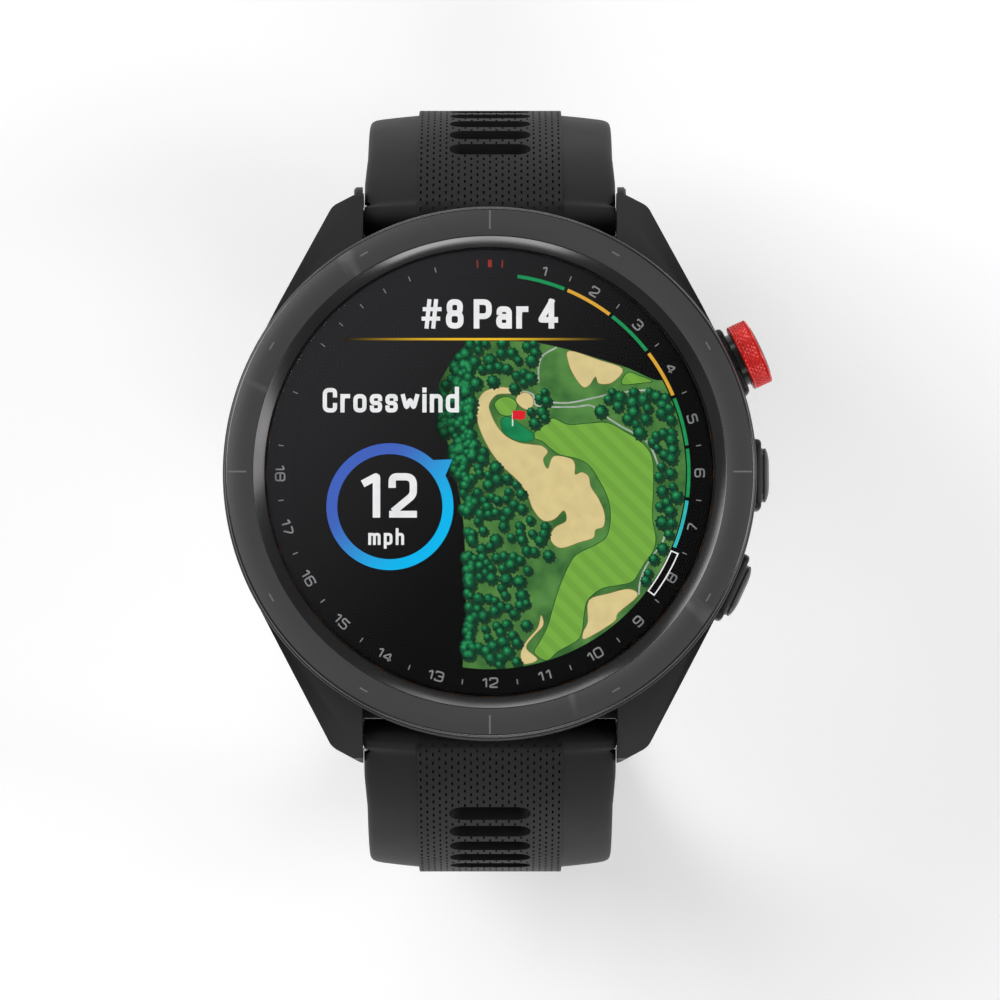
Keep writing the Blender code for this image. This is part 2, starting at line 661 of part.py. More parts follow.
def frange(start, stop, step):
    count = int((stop - start) / step)
    return [start + step * i for i in range(count + 1)]


def slot_row(numbers):
    """The (start, end) of these slots along the strap, counted from the case."""
    centres = [FIRST_SLOT + SLOT_PITCH * k for k in numbers]
    return [(c - SLOT_LENGTH / 2, c + SLOT_LENGTH / 2) for c in centres]


def tail_path():
    """The long half: it leaves the loop's circle, drops and rounds off into the flat tail on the table."""
    loop, lean = TAIL_ARCS
    height = LOOP_HEIGHT + LOOP_RADIUS * math.cos(math.radians(loop[2]))
    height += lean[0] * (math.cos(math.radians(lean[2])) - math.cos(math.radians(lean[1])))
    radius = height / (1 + math.cos(math.radians(lean[2])))
    return path_from_arcs([loop, lean, (radius, lean[2], 180.0)], 200.0)


def curl_path():
    """The short half: the loop's circle, then a tighter curl that ends at the buckle."""
    return path_from_arcs([(LOOP_RADIUS, LEAVE_ANGLE, CURL_START), (CURL_RADIUS, CURL_START, CURL_END)], 20.0)


def latch_slot(side):
    """The opening on the wrist side of the strap's end, where the latch's knob slides."""
    outline = [(7.8, -0.75), (11.4, -0.75), (11.4, 0.75), (7.8, 0.75)]
    return prism("latch_slot", outline, -3.0, 0.0, strap_end_matrix(side))


def strap_end_matrix(side):
    """At a pin: X along the pin, Z the way the strap's outer side faces there."""
    a = math.radians(LEAVE_ANGLE)
    along = Vector((0, side * math.cos(a), -math.sin(a)))
    out = Vector((0, side * math.sin(a), math.cos(a)))
    matrix = Matrix.Identity(4)
    matrix.col[1][:3] = along
    matrix.col[2][:3] = out
    matrix.col[3][:3] = (0, side * PIN_Y, CASE_LIFT + PIN_HEIGHT)
    return matrix


def strap_end(strap, side):
    """Adds the barrel round the pin, bores it, and opens the latch's slot."""
    axis = along_x(side * PIN_Y, CASE_LIFT + PIN_HEIGHT)
    joined(strap, disc("barrel", BARREL_RADIUS, -STRAP_HALF, STRAP_HALF, 28, axis))
    cut(strap, disc("tunnel", PIN_RADIUS + 0.25, -13, 13, 20, axis))
    cut(strap, latch_slot(side))
    return strap


def make_pin_and_latch(hour, side, strap_pivot):
    """A quick-release bar: a fixed rod, and a spring tip that a thumb latch pulls out of its lug."""
    axis = along_x(side * PIN_Y, CASE_LIFT + PIN_HEIGHT)
    rod = disc(f"lug_bar_{hour}", PIN_RADIUS, -PIN_REACH, 6.8, 20, axis)
    finish(rod, STEEL, 0.25, 1.0, 0.0, strap_pivot)
    pivot = pivot_empty(f"latch_{hour}_axis", 9.6, side * PIN_Y, CASE_LIFT + PIN_HEIGHT)
    tip = disc(f"latch_{hour}", 0.6, 8.7, PIN_REACH, 16, axis)
    knob = prism("knob", rectangle(0.4, 0.45, 10.2, 0.0), -2.5, -0.2, strap_end_matrix(side))
    joined(tip, knob)
    finish(tip, STEEL, 0.25, 1.0, 0.0, pivot)
    pivot.parent = strap_pivot
    pivot.location = [a - b for a, b in zip(pivot.location, strap_pivot.location)]


def make_long_strap():
    place, _ = tail_path()
    last = int((LONG_STRAP - TIP_LENGTH - FIRST_SLOT) / SLOT_PITCH)
    slots = slot_row([*range(VENT_SLOTS), *range(FIRST_ADJUSTING_SLOT, last)])
    strap = strap_body("strap_6", place, LONG_STRAP, slots, -1, True)
    pivot = pivot_empty("strap_6_axis", 0, -PIN_Y, CASE_LIFT + PIN_HEIGHT)
    finish(strap_end(strap, -1), SILICONE, 0.6, 0.0, 0.0, pivot)
    make_pin_and_latch(6, -1, pivot)


def buckle_matrix():
    """At the buckle's pin: Y runs out along the strap, Z is the way its outer side faces."""
    place, length = curl_path()
    y, z, a = place(length)
    out = Vector((0, math.sin(a), math.cos(a)))
    along = Vector((0, math.cos(a), -math.sin(a)))
    centre = Vector((0, y, z)) - out * 1.3 + along * 1.2
    matrix = Matrix.Identity(4)
    matrix.col[0][:3] = (1, 0, 0)
    matrix.col[1][:3] = along
    matrix.col[2][:3] = out
    matrix.col[3][:3] = centre
    return matrix


def make_short_strap():
    place, length = curl_path()
    strap = strap_body("strap_12", place, length, slot_row(range(VENT_SLOTS)), 1, False)
    strap_end(strap, 1)
    frame = buckle_matrix()
    across = frame @ Matrix.Rotation(math.radians(90), 4, "Y")
    joined(strap, disc("fold", BUCKLE_BARREL, -NARROW_HALF, NARROW_HALF, 24, across))
    cut(strap, prism("notch", rectangle(TONGUE_HALF + 0.5, 4.0, 0, 1.8), -5, 5, frame))
    cut(strap, disc("tunnel", BUCKLE_PIN_RADIUS + 0.2, -13, 13, 16, across))
    pivot = pivot_empty("strap_12_axis", 0, PIN_Y, CASE_LIFT + PIN_HEIGHT)
    finish(strap, SILICONE, 0.6, 0.0, 0.0, pivot)
    make_pin_and_latch(12, 1, pivot)
    pin = disc("buckle_pin", BUCKLE_PIN_RADIUS, 0.3 - BUCKLE_HALF, BUCKLE_HALF - 0.3, 16, across)
    finish(pin, STEEL, 0.25, 1.0, 0.0, pivot)
    finish(keeper("fixed_keeper", FIXED_KEEPER_ANGLE), SILICONE, 0.6, 0.0, 0.0, pivot)
    return pivot


# ---------------------------------------------------------------- the buckle and the keepers


def make_buckle(strap_pivot):
    frame = buckle_matrix()
    across = frame @ Matrix.Rotation(math.radians(90), 4, "Y")
    centre = frame.to_translation()
    pivot = pivot_empty("buckle_axis", *centre)
    window = BUCKLE_HALF - BUCKLE_ARM
    outline = rounded(rectangle(BUCKLE_HALF, BUCKLE_LENGTH / 2 + 0.8, 0, BUCKLE_LENGTH / 2 - 0.8), 2.2)
    buckle = prism("buckle_frame", outline, -BUCKLE_THICK / 2, BUCKLE_THICK / 2, frame)
    opening = rectangle(window, (BUCKLE_LENGTH - 2.0) / 2 + 3, 0, (BUCKLE_LENGTH - 2.0) / 2 - 3)
    cut(buckle, prism("window", opening, -5, 5, frame))
    cut(buckle, disc("pin_hole", BUCKLE_PIN_RADIUS + 0.15, -20, 20, 16, across))
    finish(buckle, (0.12, 0.12, 0.125), 0.35, 0.9, 0.0, pivot)
    tongue_pivot = pivot_empty("tongue_axis", *centre)
    side = [(0.0, 0.0), (9.4, 1.2), (BUCKLE_LENGTH, 1.2), (BUCKLE_LENGTH, 2.1), (9.0, 2.1), (0.0, 1.4)]
    turn = Matrix(((0, 0, 1, 0), (1, 0, 0, 0), (0, 1, 0, 0), (0, 0, 0, 1)))
    tongue = prism("buckle_tongue", side, -TONGUE_HALF, TONGUE_HALF, frame @ turn)
    joined(tongue, disc("barrel", BUCKLE_BARREL, -TONGUE_HALF, TONGUE_HALF, 20, across))
    cut(tongue, disc("pin_hole", BUCKLE_PIN_RADIUS + 0.15, -20, 20, 16, across))
    finish(tongue, (0.12, 0.12, 0.125), 0.35, 0.9, 0.0, tongue_pivot)
    tongue_pivot.parent = pivot
    tongue_pivot.location = (0, 0, 0)
    pivot.parent = strap_pivot
    pivot.location = [a * MM - b for a, b in zip(centre, strap_pivot.location)]


def curl_centre():
    """The centre of the short strap's curl, in Y and Z."""
    place, _ = curl_path()
    y, z, a = place(arc_length(LOOP_RADIUS, LEAVE_ANGLE, CURL_START) + 1e-6)
    return y - CURL_RADIUS * math.sin(a), z - CURL_RADIUS * math.cos(a)


def keeper(name, angle):
    """A loop round the strap, with room for the tail on its outer side."""
    place, _ = curl_path()
    s = arc_length(LOOP_RADIUS, LEAVE_ANGLE, CURL_START) + arc_length(CURL_RADIUS, CURL_START, angle)
    y, z, a = place(s)
    matrix = Matrix.Identity(4)
    matrix.col[1][:3] = (0, math.cos(a), -math.sin(a))
    matrix.col[2][:3] = (0, math.sin(a), math.cos(a))
    matrix.col[3][:3] = (0, y, z)
    low = -strap_thickness(s) - 0.4
    high = KEEPER_ROOM
    half = NARROW_HALF + 0.3
    # The loop's outline is drawn across the strap, so the prism is turned to run along it.
    turn = Matrix(((1, 0, 0, 0), (0, 0, 1, 0), (0, 1, 0, 0), (0, 0, 0, 1)))
    middle = (low + high) / 2
    tall = (high - low) / 2
    outer = rounded(rectangle(half + KEEPER_WALL, tall + KEEPER_WALL, 0, middle), 1.4)
    inner = rectangle(half, tall, 0, middle)
    loop = prism(name, outer, -KEEPER_WIDTH / 2, KEEPER_WIDTH / 2, matrix @ turn)
    return cut(loop, prism("room", inner, -KEEPER_WIDTH, KEEPER_WIDTH, matrix @ turn))


def make_free_keeper(strap_pivot):
    y, z = curl_centre()
    pivot = pivot_empty("free_keeper_axis", 0, y, z)
    finish(keeper("free_keeper", FREE_KEEPER_ANGLE), SILICONE, 0.6, 0.0, 0.0, pivot)
    pivot.parent = strap_pivot
    pivot.location = [a - b for a, b in zip(pivot.location, strap_pivot.location)]


def clear_scene():
    for obj in list(bpy.data.objects):
        bpy.data.objects.remove(obj)


def main():
    clear_scene()
    make_case_body()
    make_bezel()
    make_glass_and_display()
    make_inner_frame()
    make_electronics()
    make_back()
    make_charge_socket()
    make_switches()
    make_action_button()
    make_flat_button("menu")
    make_flat_button("back")
    make_long_strap()
    strap_pivot = make_short_strap()
    make_buckle(strap_pivot)
    make_free_keeper(strap_pivot)


main()
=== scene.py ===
"""A golf GPS watch: the looks of its pieces, laid out as an add-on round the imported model.

The frame gives every place in metres. Shapes here are drawn in millimetres and turned into metres by
piece(). +Z is up through the dial, +Y points to 12 o'clock and +X to 3 o'clock.
"""

import json
import math
import random

import bmesh
import bpy
from mathutils import Matrix, Vector


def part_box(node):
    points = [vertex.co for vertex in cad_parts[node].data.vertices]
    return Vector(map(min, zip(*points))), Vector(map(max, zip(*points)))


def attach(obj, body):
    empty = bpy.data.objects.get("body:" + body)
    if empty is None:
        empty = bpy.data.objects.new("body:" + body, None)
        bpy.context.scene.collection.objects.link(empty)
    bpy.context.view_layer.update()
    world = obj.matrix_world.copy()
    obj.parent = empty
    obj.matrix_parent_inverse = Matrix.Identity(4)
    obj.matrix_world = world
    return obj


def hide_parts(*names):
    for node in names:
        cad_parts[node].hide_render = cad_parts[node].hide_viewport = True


bl_info = {
    "name": "Golf GPS Watch",
    "version": (1, 0, 0),
    "blender": (4, 5, 0),
    "location": "3D View > Sidebar > Watch",
    "description": "Builds the visible pieces of a golf GPS watch round its packed model",
    "category": "Object",
}

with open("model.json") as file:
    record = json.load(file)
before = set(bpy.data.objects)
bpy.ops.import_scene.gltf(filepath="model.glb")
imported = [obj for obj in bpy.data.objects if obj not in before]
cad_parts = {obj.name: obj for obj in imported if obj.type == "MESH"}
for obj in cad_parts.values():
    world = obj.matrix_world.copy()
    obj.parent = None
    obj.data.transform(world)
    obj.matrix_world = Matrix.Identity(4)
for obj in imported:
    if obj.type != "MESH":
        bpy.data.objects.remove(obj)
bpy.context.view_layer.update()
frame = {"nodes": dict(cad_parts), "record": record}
MM = 0.001


def box_mm(node):
    """The node's lowest and highest corners, in millimetres."""
    low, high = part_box(node)
    return low / MM, high / MM


BEZEL_RADIUS = box_mm("bezel")[1].x
TOP = box_mm("bezel")[1].z
CASE_THICKNESS = 13.9
LIFT = TOP - CASE_THICKNESS
LENS_RADIUS = box_mm("lens")[1].x
LENS_LOW, LENS_HIGH = box_mm("lens")[0].z, box_mm("lens")[1].z
DIAL_TOP = box_mm("dial_ring")[1].z
SCREEN_TOP = box_mm("display_panel")[1].z
PIN_CENTRE = sum(box_mm("lug_bar_12"), Vector()) / 2
PIN_Y, PIN_Z = PIN_CENTRE.y, PIN_CENTRE.z


def linear(red, green, blue):
    """A screen colour, 0 to 255, as linear light."""
    return tuple(
        (c / 255 / 12.92) if c <= 10 else ((c / 255 + 0.055) / 1.055) ** 2.4 for c in (red, green, blue)
    )


# ---------------------------------------------------------------- what a user may change


def length(name, text, value):
    return bpy.props.FloatProperty(name=name, description=text, default=value, min=0.0, unit="LENGTH")


def colour(name, text, value):
    return bpy.props.FloatVectorProperty(
        name=name, description=text, default=value, size=3, min=0.0, max=1.0, subtype="COLOR"
    )


class WatchSizes(bpy.types.PropertyGroup):
    """Sizes of the watch's fine detail."""

    numeral_height: length("Numeral height", "Height of the numbers round the dial", 0.00092)
    mark_width: length("Mark width", "Width of the quarter lines on the bezel", 0.00015)
    slit_length: length("Slit length", "Length of one slit in the strap's band", 0.00046)
    slit_width: length("Slit width", "Width of one slit in the strap's band", 0.00017)
    slit_depth: length("Slit depth", "Depth of the slits in the strap's band", 0.0002)
    knurl_depth: length("Knurl depth", "Depth of the diamond knurl on the red ring", 0.00008)
    knurl_count: bpy.props.IntProperty(
        name="Knurl count", description="Diamonds round the red ring", default=42, min=8, max=80
    )


class WatchColours(bpy.types.PropertyGroup):
    """Colours of the watch's finishes."""

    case: colour("Case", "Moulded case and lugs", linear(17, 17, 18))
    bezel: colour("Bezel", "Satin metal of the bezel", linear(104, 103, 104))
    strap: colour("Strap", "Silicone of the strap", linear(15, 15, 16))
    ring: colour("Ring", "Anodised ring of the action button", linear(232, 36, 30))
    pusher: colour("Pushers", "Metal of the flat pushers", linear(92, 92, 93))
    buckle: colour("Buckle", "Dark coated metal of the buckle", linear(78, 78, 80))
    print: colour("Print", "Printed numbers and ticks", linear(186, 187, 189))
    fairway: colour("Fairway", "Mown grass on the hole's map", linear(118, 172, 66))
    sand: colour("Sand", "Bunkers on the hole's map", linear(219, 201, 142))


def sizes():
    return bpy.context.scene.watch_sizes


def colours():
    return bpy.context.scene.watch_colours


# ---------------------------------------------------------------- shapes, in millimetres


def new_object(name, bm):
    bmesh.ops.recalc_face_normals(bm, faces=bm.faces)
    mesh = bpy.data.meshes.new(name)
    bm.to_mesh(mesh)
    bm.free()
    obj = bpy.data.objects.new(name, mesh)
    bpy.context.scene.collection.objects.link(obj)
    return obj


def piece(obj, body, materials, stands_for=(), smooth=38.0):
    """Makes a millimetre object a finished piece: in metres, riding on its body, with its materials."""
    obj.data.transform(Matrix.Scale(MM, 4))
    for made in materials:
        obj.data.materials.append(made)
    obj.data.shade_smooth()
    obj.data.set_sharp_from_angle(angle=math.radians(smooth))
    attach(obj, body)
    if stands_for:
        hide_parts(*stands_for)
    return obj


def turned_into(bm, profile, steps, matrix=None, finishes=None):
    """Spins a closed outline of (radius, height) points round Z. finishes gives each segment's material."""
    rings = []
    for radius, height in profile:
        if radius < 1e-6:
            rings.append([bm.verts.new((0, 0, height))])
            continue
        angles = [2 * math.pi * i / steps for i in range(steps)]
        rings.append([bm.verts.new((radius * math.cos(a), radius * math.sin(a), height)) for a in angles])
    for number, (low, high) in enumerate(zip(rings, rings[1:] + rings[:1])):
        if len(low) == 1 and len(high) == 1:
            continue
        for i in range(steps):
            j = (i + 1) % steps
            if len(low) == 1:
                face = bm.faces.new((low[0], high[i], high[j]))
            elif len(high) == 1:
                face = bm.faces.new((low[i], low[j], high[0]))
            else:
                face = bm.faces.new((low[i], low[j], high[j], high[i]))
            if finishes:
                face.material_index = finishes[number]
    if matrix is not None:
        bmesh.ops.transform(bm, matrix=matrix, verts=[v for ring in rings for v in ring])


def turned(name, profile, steps=160, matrix=None, finishes=None):
    bm = bmesh.new()
    turned_into(bm, profile, steps, matrix, finishes)
    return new_object(name, bm)


def lofted_into(bm, loops, finishes=None):
    """Joins closed loops of equal length, one above the other, and caps both ends."""
    rows = [[bm.verts.new(point) for point in loop] for loop in loops]
    count = len(rows[0])
    for number, (low, high) in enumerate(zip(rows, rows[1:])):
        for i in range(count):
            j = (i + 1) % count
            face = bm.faces.new((low[i], low[j], high[j], high[i]))
            if finishes:
                face.material_index = finishes[number]
    bm.faces.new(rows[0][::-1])
    lid = bm.faces.new(rows[-1])
    if finishes:
        lid.material_index = finishes[-1]


def prism(name, outline, low, high, matrix=None):
    bm = bmesh.new()
    lofted_into(bm, [[(x, y, low) for x, y in outline], [(x, y, high) for x, y in outline]])
    if matrix is not None:
        bm.transform(matrix)
    return new_object(name, bm)


def rounded(outline, radius, steps=7, closed=True):
    """The outline with each corner replaced by a curve."""
    points = []
    for i, corner in enumerate(outline):
        here = Vector(corner)
        if not closed and i in (0, len(outline) - 1):
            points.append(tuple(here))
            continue
        back = Vector(outline[i - 1]) - here
        ahead = Vector(outline[(i + 1) % len(outline)]) - here
        half = max(back.angle(ahead) / 2, 0.05)
        reach = min(radius / math.tan(half), 0.45 * back.length, 0.45 * ahead.length)
        start = here + back.normalized() * reach
        end = here + ahead.normalized() * reach
        for k in range(steps + 1):
            t = k / steps
            points.append(tuple((1 - t) ** 2 * start + 2 * t * (1 - t) * here + t * t * end))
    return points


CORNERS = ((-1, -1), (1, -1), (1, 1), (-1, 1))


def rectangle(half_x, half_y, x=0.0, y=0.0):
    return [(x + i * half_x, y + j * half_y) for i, j in CORNERS]


def bake_modifier(obj, kind, **values):
    """Adds a modifier, applies it to the mesh and clears it."""
    modifier = obj.modifiers.new(kind.lower(), kind)
    for name, value in values.items():
        setattr(modifier, name, value)
    bpy.context.view_layer.update()
    graph = bpy.context.evaluated_depsgraph_get()
    mesh = bpy.data.meshes.new_from_object(obj.evaluated_get(graph))
    obj.modifiers.clear()
    obj.data = mesh
    return obj


def combine(obj, other, operation):
    bake_modifier(obj, "BOOLEAN", operation=operation, solver="EXACT", object=other)
    bpy.data.objects.remove(other)
    return obj


def cut(obj, *others):
    for other in others:
        combine(obj, other, "DIFFERENCE")
    return obj


def joined(obj, *others):
    for other in others:
        combine(obj, other, "UNION")
    return obj


def softened(obj, width, angle=35.0, segments=3):
    """Rounds the object's own edges, before anything is cut from it."""
    values = {"width": width, "segments": segments, "angle_limit": math.radians(angle)}
    return bake_modifier(obj, "BEVEL", limit_method="ANGLE", **values)


def along_x(y, z):
    return Matrix.Translation((0, y, z)) @ Matrix.Rotation(math.radians(90), 4, "Y")


BUTTON_ANGLES = {"action": 25.0, "menu": 0.0, "back": -25.0}
BUTTON_Z = LIFT + 7.6


def along_radius(angle):
    """Turns +Z to the outward radius at this angle on the dial, at the buttons' height."""
    turn = Matrix.Rotation(math.radians(angle), 4, "Z")
    return turn @ Matrix.Translation((0, 0, BUTTON_Z)) @ Matrix.Rotation(math.radians(90), 4, "Y")


def polar(radius, clock):
    """The (x, y) point at this radius, clock degrees clockwise from 12 o'clock."""
    a = math.radians(clock)
    return radius * math.sin(a), radius * math.cos(a)


# ---------------------------------------------------------------- shader groups and materials


def group_with(name, inputs, outputs):
    tree = bpy.data.node_groups.new(name, "ShaderNodeTree")
    for label, kind, value in inputs:
        socket = tree.interface.new_socket(name=label, in_out="INPUT", socket_type=kind)
        socket.default_value = value
    for label, kind in outputs:
        tree.interface.new_socket(name=label, in_out="OUTPUT", socket_type=kind)
    return tree, tree.nodes.new("NodeGroupInput"), tree.nodes.new("NodeGroupOutput")


def mix_colours(tree, factor, first, second):
    """A Mix node between two colours. Each may be a socket or a value."""
    node = tree.nodes.new("ShaderNodeMix")
    node.data_type = "RGBA"
    for socket, value in ((node.inputs[0], factor), (node.inputs[6], first), (node.inputs[7], second)):
        put(tree, socket, value)
    return node.outputs[2]


def put(tree, socket, value):
    if isinstance(value, bpy.types.NodeSocket):
        tree.links.new(value, socket)
    elif hasattr(value, "__len__") and len(value) == 3 and len(socket.default_value) == 4:
        socket.default_value = (*value, 1.0)
    else:
        socket.default_value = value


def maths(tree, operation, *values):
    node = tree.nodes.new("ShaderNodeMath")
    node.operation = operation
    for socket, value in zip(node.inputs, values):
        put(tree, socket, value)
    return node.outputs[0]


def stretched(tree, value, low, high):
    """A node that takes values from low to high over 0 to 1, and holds them there."""
    node = tree.nodes.new("ShaderNodeMapRange")
    put(tree, node.inputs["Value"], value)
    node.inputs["From Min"].default_value = low
    node.inputs["From Max"].default_value = high
    return node


def object_coordinates(tree):
    return tree.nodes.new("ShaderNodeTexCoord").outputs["Object"]


def noise_node(tree, scale, detail=2.0, vector=None):
    node = tree.nodes.new("ShaderNodeTexNoise")
    put(tree, node.inputs["Vector"], vector or object_coordinates(tree))
    put(tree, node.inputs["Scale"], scale)
    node.inputs["Detail"].default_value = detail
    return node.outputs["Fac"]


def moulded_grain_group():
    """Colour and roughness that drift over the surface, and a fine grain to raise it."""
    number = "NodeSocketFloat"
    shade = "NodeSocketColor"
    inputs = [
        ("Colour", shade, (0.1, 0.1, 0.1, 1)), ("Tint", shade, (0.2, 0.2, 0.2, 1)),
        ("Roughness", number, 0.5), ("Spread", number, 0.1), ("Grain scale", number, 6000.0),
        ("Drift scale", number, 150.0),
    ]
    outputs = [("Colour", shade), ("Roughness", number), ("Height", number)]
    tree, given, result = group_with("moulded_grain", inputs, outputs)
    place = object_coordinates(tree)
    drift = noise_node(tree, given.outputs["Drift scale"], 3.0, place)
    fine = noise_node(tree, given.outputs["Grain scale"], 2.0, place)
    contrast = stretched(tree, drift, 0.3, 0.7).outputs[0]
    blend = mix_colours(tree, contrast, given.outputs["Colour"], given.outputs["Tint"])
    offset = maths(tree, "SUBTRACT", contrast, 0.5)
    rough = maths(tree, "MULTIPLY_ADD", offset, given.outputs["Spread"], given.outputs["Roughness"])
    tree.links.new(blend, result.inputs["Colour"])
    tree.links.new(rough, result.inputs["Roughness"])
    tree.links.new(fine, result.inputs["Height"])
    return tree


def turned_lines_group():
    """Fine lathe lines round the dial's axis."""
    number = "NodeSocketFloat"
    tree, given, result = group_with("turned_lines", [("Lines scale", number, 9000.0)], [("Height", number)])
    flat = tree.nodes.new("ShaderNodeVectorMath")
    flat.operation = "MULTIPLY"
    put(tree, flat.inputs[0], object_coordinates(tree))
    flat.inputs[1].default_value = (1.0, 1.0, 0.0)
    radius = tree.nodes.new("ShaderNodeVectorMath")
    radius.operation = "LENGTH"
    put(tree, radius.inputs[0], flat.outputs[0])
    lines = tree.nodes.new("ShaderNodeTexNoise")
    lines.noise_dimensions = "1D"
    put(tree, lines.inputs["W"], radius.outputs["Value"])
    put(tree, lines.inputs["Scale"], given.outputs["Lines scale"])
    tree.links.new(lines.outputs["Fac"], result.inputs["Height"])
    return tree


def worn_edges_group():
    """The base colour, lightened where the surface bends sharply: a painted highlight along sharp edges, broken
    up by noise.
    """
    shade = "NodeSocketColor"
    inputs = [
        ("Colour", shade, (0.1, 0.1, 0.1, 1)), ("Worn colour", shade, (0.3, 0.3, 0.3, 1)),
        ("Amount", "NodeSocketFloat", 0.5),
    ]
    tree, given, result = group_with("painted_edge_highlight", inputs, [("Colour", shade)])
    pointed = tree.nodes.new("ShaderNodeNewGeometry").outputs["Pointiness"]
    bend = stretched(tree, pointed, 0.52, 0.62)
    broken = maths(tree, "MULTIPLY", bend.outputs[0], noise_node(tree, 900.0, 4.0))
    share = maths(tree, "MULTIPLY", broken, given.outputs["Amount"])
    blend = mix_colours(tree, share, given.outputs["Colour"], given.outputs["Worn colour"])
    tree.links.new(blend, result.inputs["Colour"])
    return tree


def the_group(name, make):
    return bpy.data.node_groups.get(name) or make()


def place_group(tree, group, **values):
    node = tree.nodes.new("ShaderNodeGroup")
    node.node_tree = group
    for label, value in values.items():
        put(tree, node.inputs[label.replace("_", " ")], value)
    return node


def new_material(name):
    made = bpy.data.materials.new(name)
    made.use_nodes = True
    return made, made.node_tree, made.node_tree.nodes["Principled BSDF"]


def surface(
    name, base, rough, metal=0.0, spread=0.1, tint=1.35, grain=6000.0, depth=0.004, drift=150.0,
    edge_highlight=0.0, lines=0.0, coat=0.0, specular=0.4,
):
    """A solid finish: drifting colour and roughness, fine grain or lathe lines, and a painted highlight along
    sharp edges.
    """
    old = bpy.data.materials.get(name)
    if old:
        return old
    made, tree, shader = new_material(name)
    base = tuple(base)
    other = tuple(min(1.0, c * tint) for c in base)
    group = the_group("moulded_grain", moulded_grain_group)
    values = {"Colour": base, "Tint": other, "Roughness": rough, "Spread": spread}
    skin = place_group(tree, group, **values, Grain_scale=grain, Drift_scale=drift)
    shade, height = skin.outputs["Colour"], skin.outputs["Height"]
    if edge_highlight:
        # Painted highlight: sharp edges lighten towards this pale colour.
        pale = tuple(min(1.0, c * 3 + 0.02) for c in base)
        group = the_group("painted_edge_highlight", worn_edges_group)
        shade = place_group(tree, group, Colour=shade, Worn_colour=pale, Amount=edge_highlight).outputs["Colour"]
    if lines:
        group = the_group("turned_lines", turned_lines_group)
        height = place_group(tree, group, Lines_scale=lines).outputs["Height"]
    bump = tree.nodes.new("ShaderNodeBump")
    bump.inputs["Distance"].default_value = depth * MM
    tree.links.new(height, bump.inputs["Height"])
    tree.links.new(shade, shader.inputs["Base Color"])
    tree.links.new(skin.outputs["Roughness"], shader.inputs["Roughness"])
    tree.links.new(bump.outputs["Normal"], shader.inputs["Normal"])
    shader.inputs["Metallic"].default_value = metal
    shader.inputs["Coat Weight"].default_value = coat
    shader.inputs["Specular IOR Level"].default_value = specular
    made.diffuse_color = (*base, 1.0)
    return made


FADE_START, FADE_END, FADE_SHARE = -5.2, -2.2, 0.22


def lit(name, low, high, pattern, fade=False):
    """A screen colour that gives its own light. pattern(tree) gives the share of high, from 0 to 1.

    fade darkens it towards the left edge of the hole's map.
    """
    made, tree, shader = new_material(name)
    shade = mix_colours(tree, pattern(tree), low, high)
    if fade:
        share = ramp_along((1, 0, 0), FADE_START, FADE_END)(tree)
        shade = mix_colours(tree, share, [v * FADE_SHARE for v in low], shade)
    shader.inputs["Base Color"].default_value = (0.0, 0.0, 0.0, 1.0)
    shader.inputs["Specular IOR Level"].default_value = 0.05
    shader.inputs["Roughness"].default_value = 0.6
    tree.links.new(shade, shader.inputs["Emission Color"])
    shader.inputs["Emission Strength"].default_value = 1.0
    return made


def mottled(scale, detail=3.0):
    """A pattern of soft patches."""

    def pattern(tree):
        return stretched(tree, noise_node(tree, scale, detail), 0.35, 0.65).outputs[0]

    return pattern


def ramp_along(direction, start, end):
    """A pattern that rises from 0 to 1 along the direction, between two distances in millimetres."""

    def pattern(tree):
        dot = tree.nodes.new("ShaderNodeVectorMath")
        dot.operation = "DOT_PRODUCT"
        put(tree, dot.inputs[0], object_coordinates(tree))
        dot.inputs[1].default_value = Vector(direction).normalized()
        rise = stretched(tree, dot.outputs["Value"], start * MM, end * MM)
        rise.interpolation_type = "SMOOTHSTEP"
        return rise.outputs[0]

    return pattern


def mown_stripes(width):
    """A pattern of diagonal mowing stripes."""

    def pattern(tree):
        wave = tree.nodes.new("ShaderNodeTexWave")
        wave.bands_direction = "DIAGONAL"
        put(tree, wave.inputs["Vector"], object_coordinates(tree))
        wave.inputs["Scale"].default_value = 0.18 / (width * MM)
        return stretched(tree, wave.outputs["Fac"], 0.35, 0.65).outputs[0]

    return pattern


def case_finish():
    # The case's sharp edges get a painted highlight, and a low specular level.
    highlight_and_specular = {"edge_highlight": 0.35, "specular": 0.26}
    return surface("moulded_case", colours().case, 0.44, 0.0, 0.08, 1.25, 5200.0, 0.006, 130.0, **highlight_and_specular)


def silicone():
    base = colours().strap
    return surface("strap_silicone", base, 0.56, 0.0, 0.1, 1.3, 7000.0, 0.003, 110.0, specular=0.22)


def steel():
    return surface("pin_steel", linear(190, 190, 192), 0.28, 1.0, 0.12, 0.8, 9000.0, 0.002, 900.0, edge_highlight=0.2)


def dark_metal():
    return surface("coated_buckle", colours().buckle, 0.33, 0.9, 0.12, 1.2, 8000.0, 0.002, 300.0, edge_highlight=0.5)


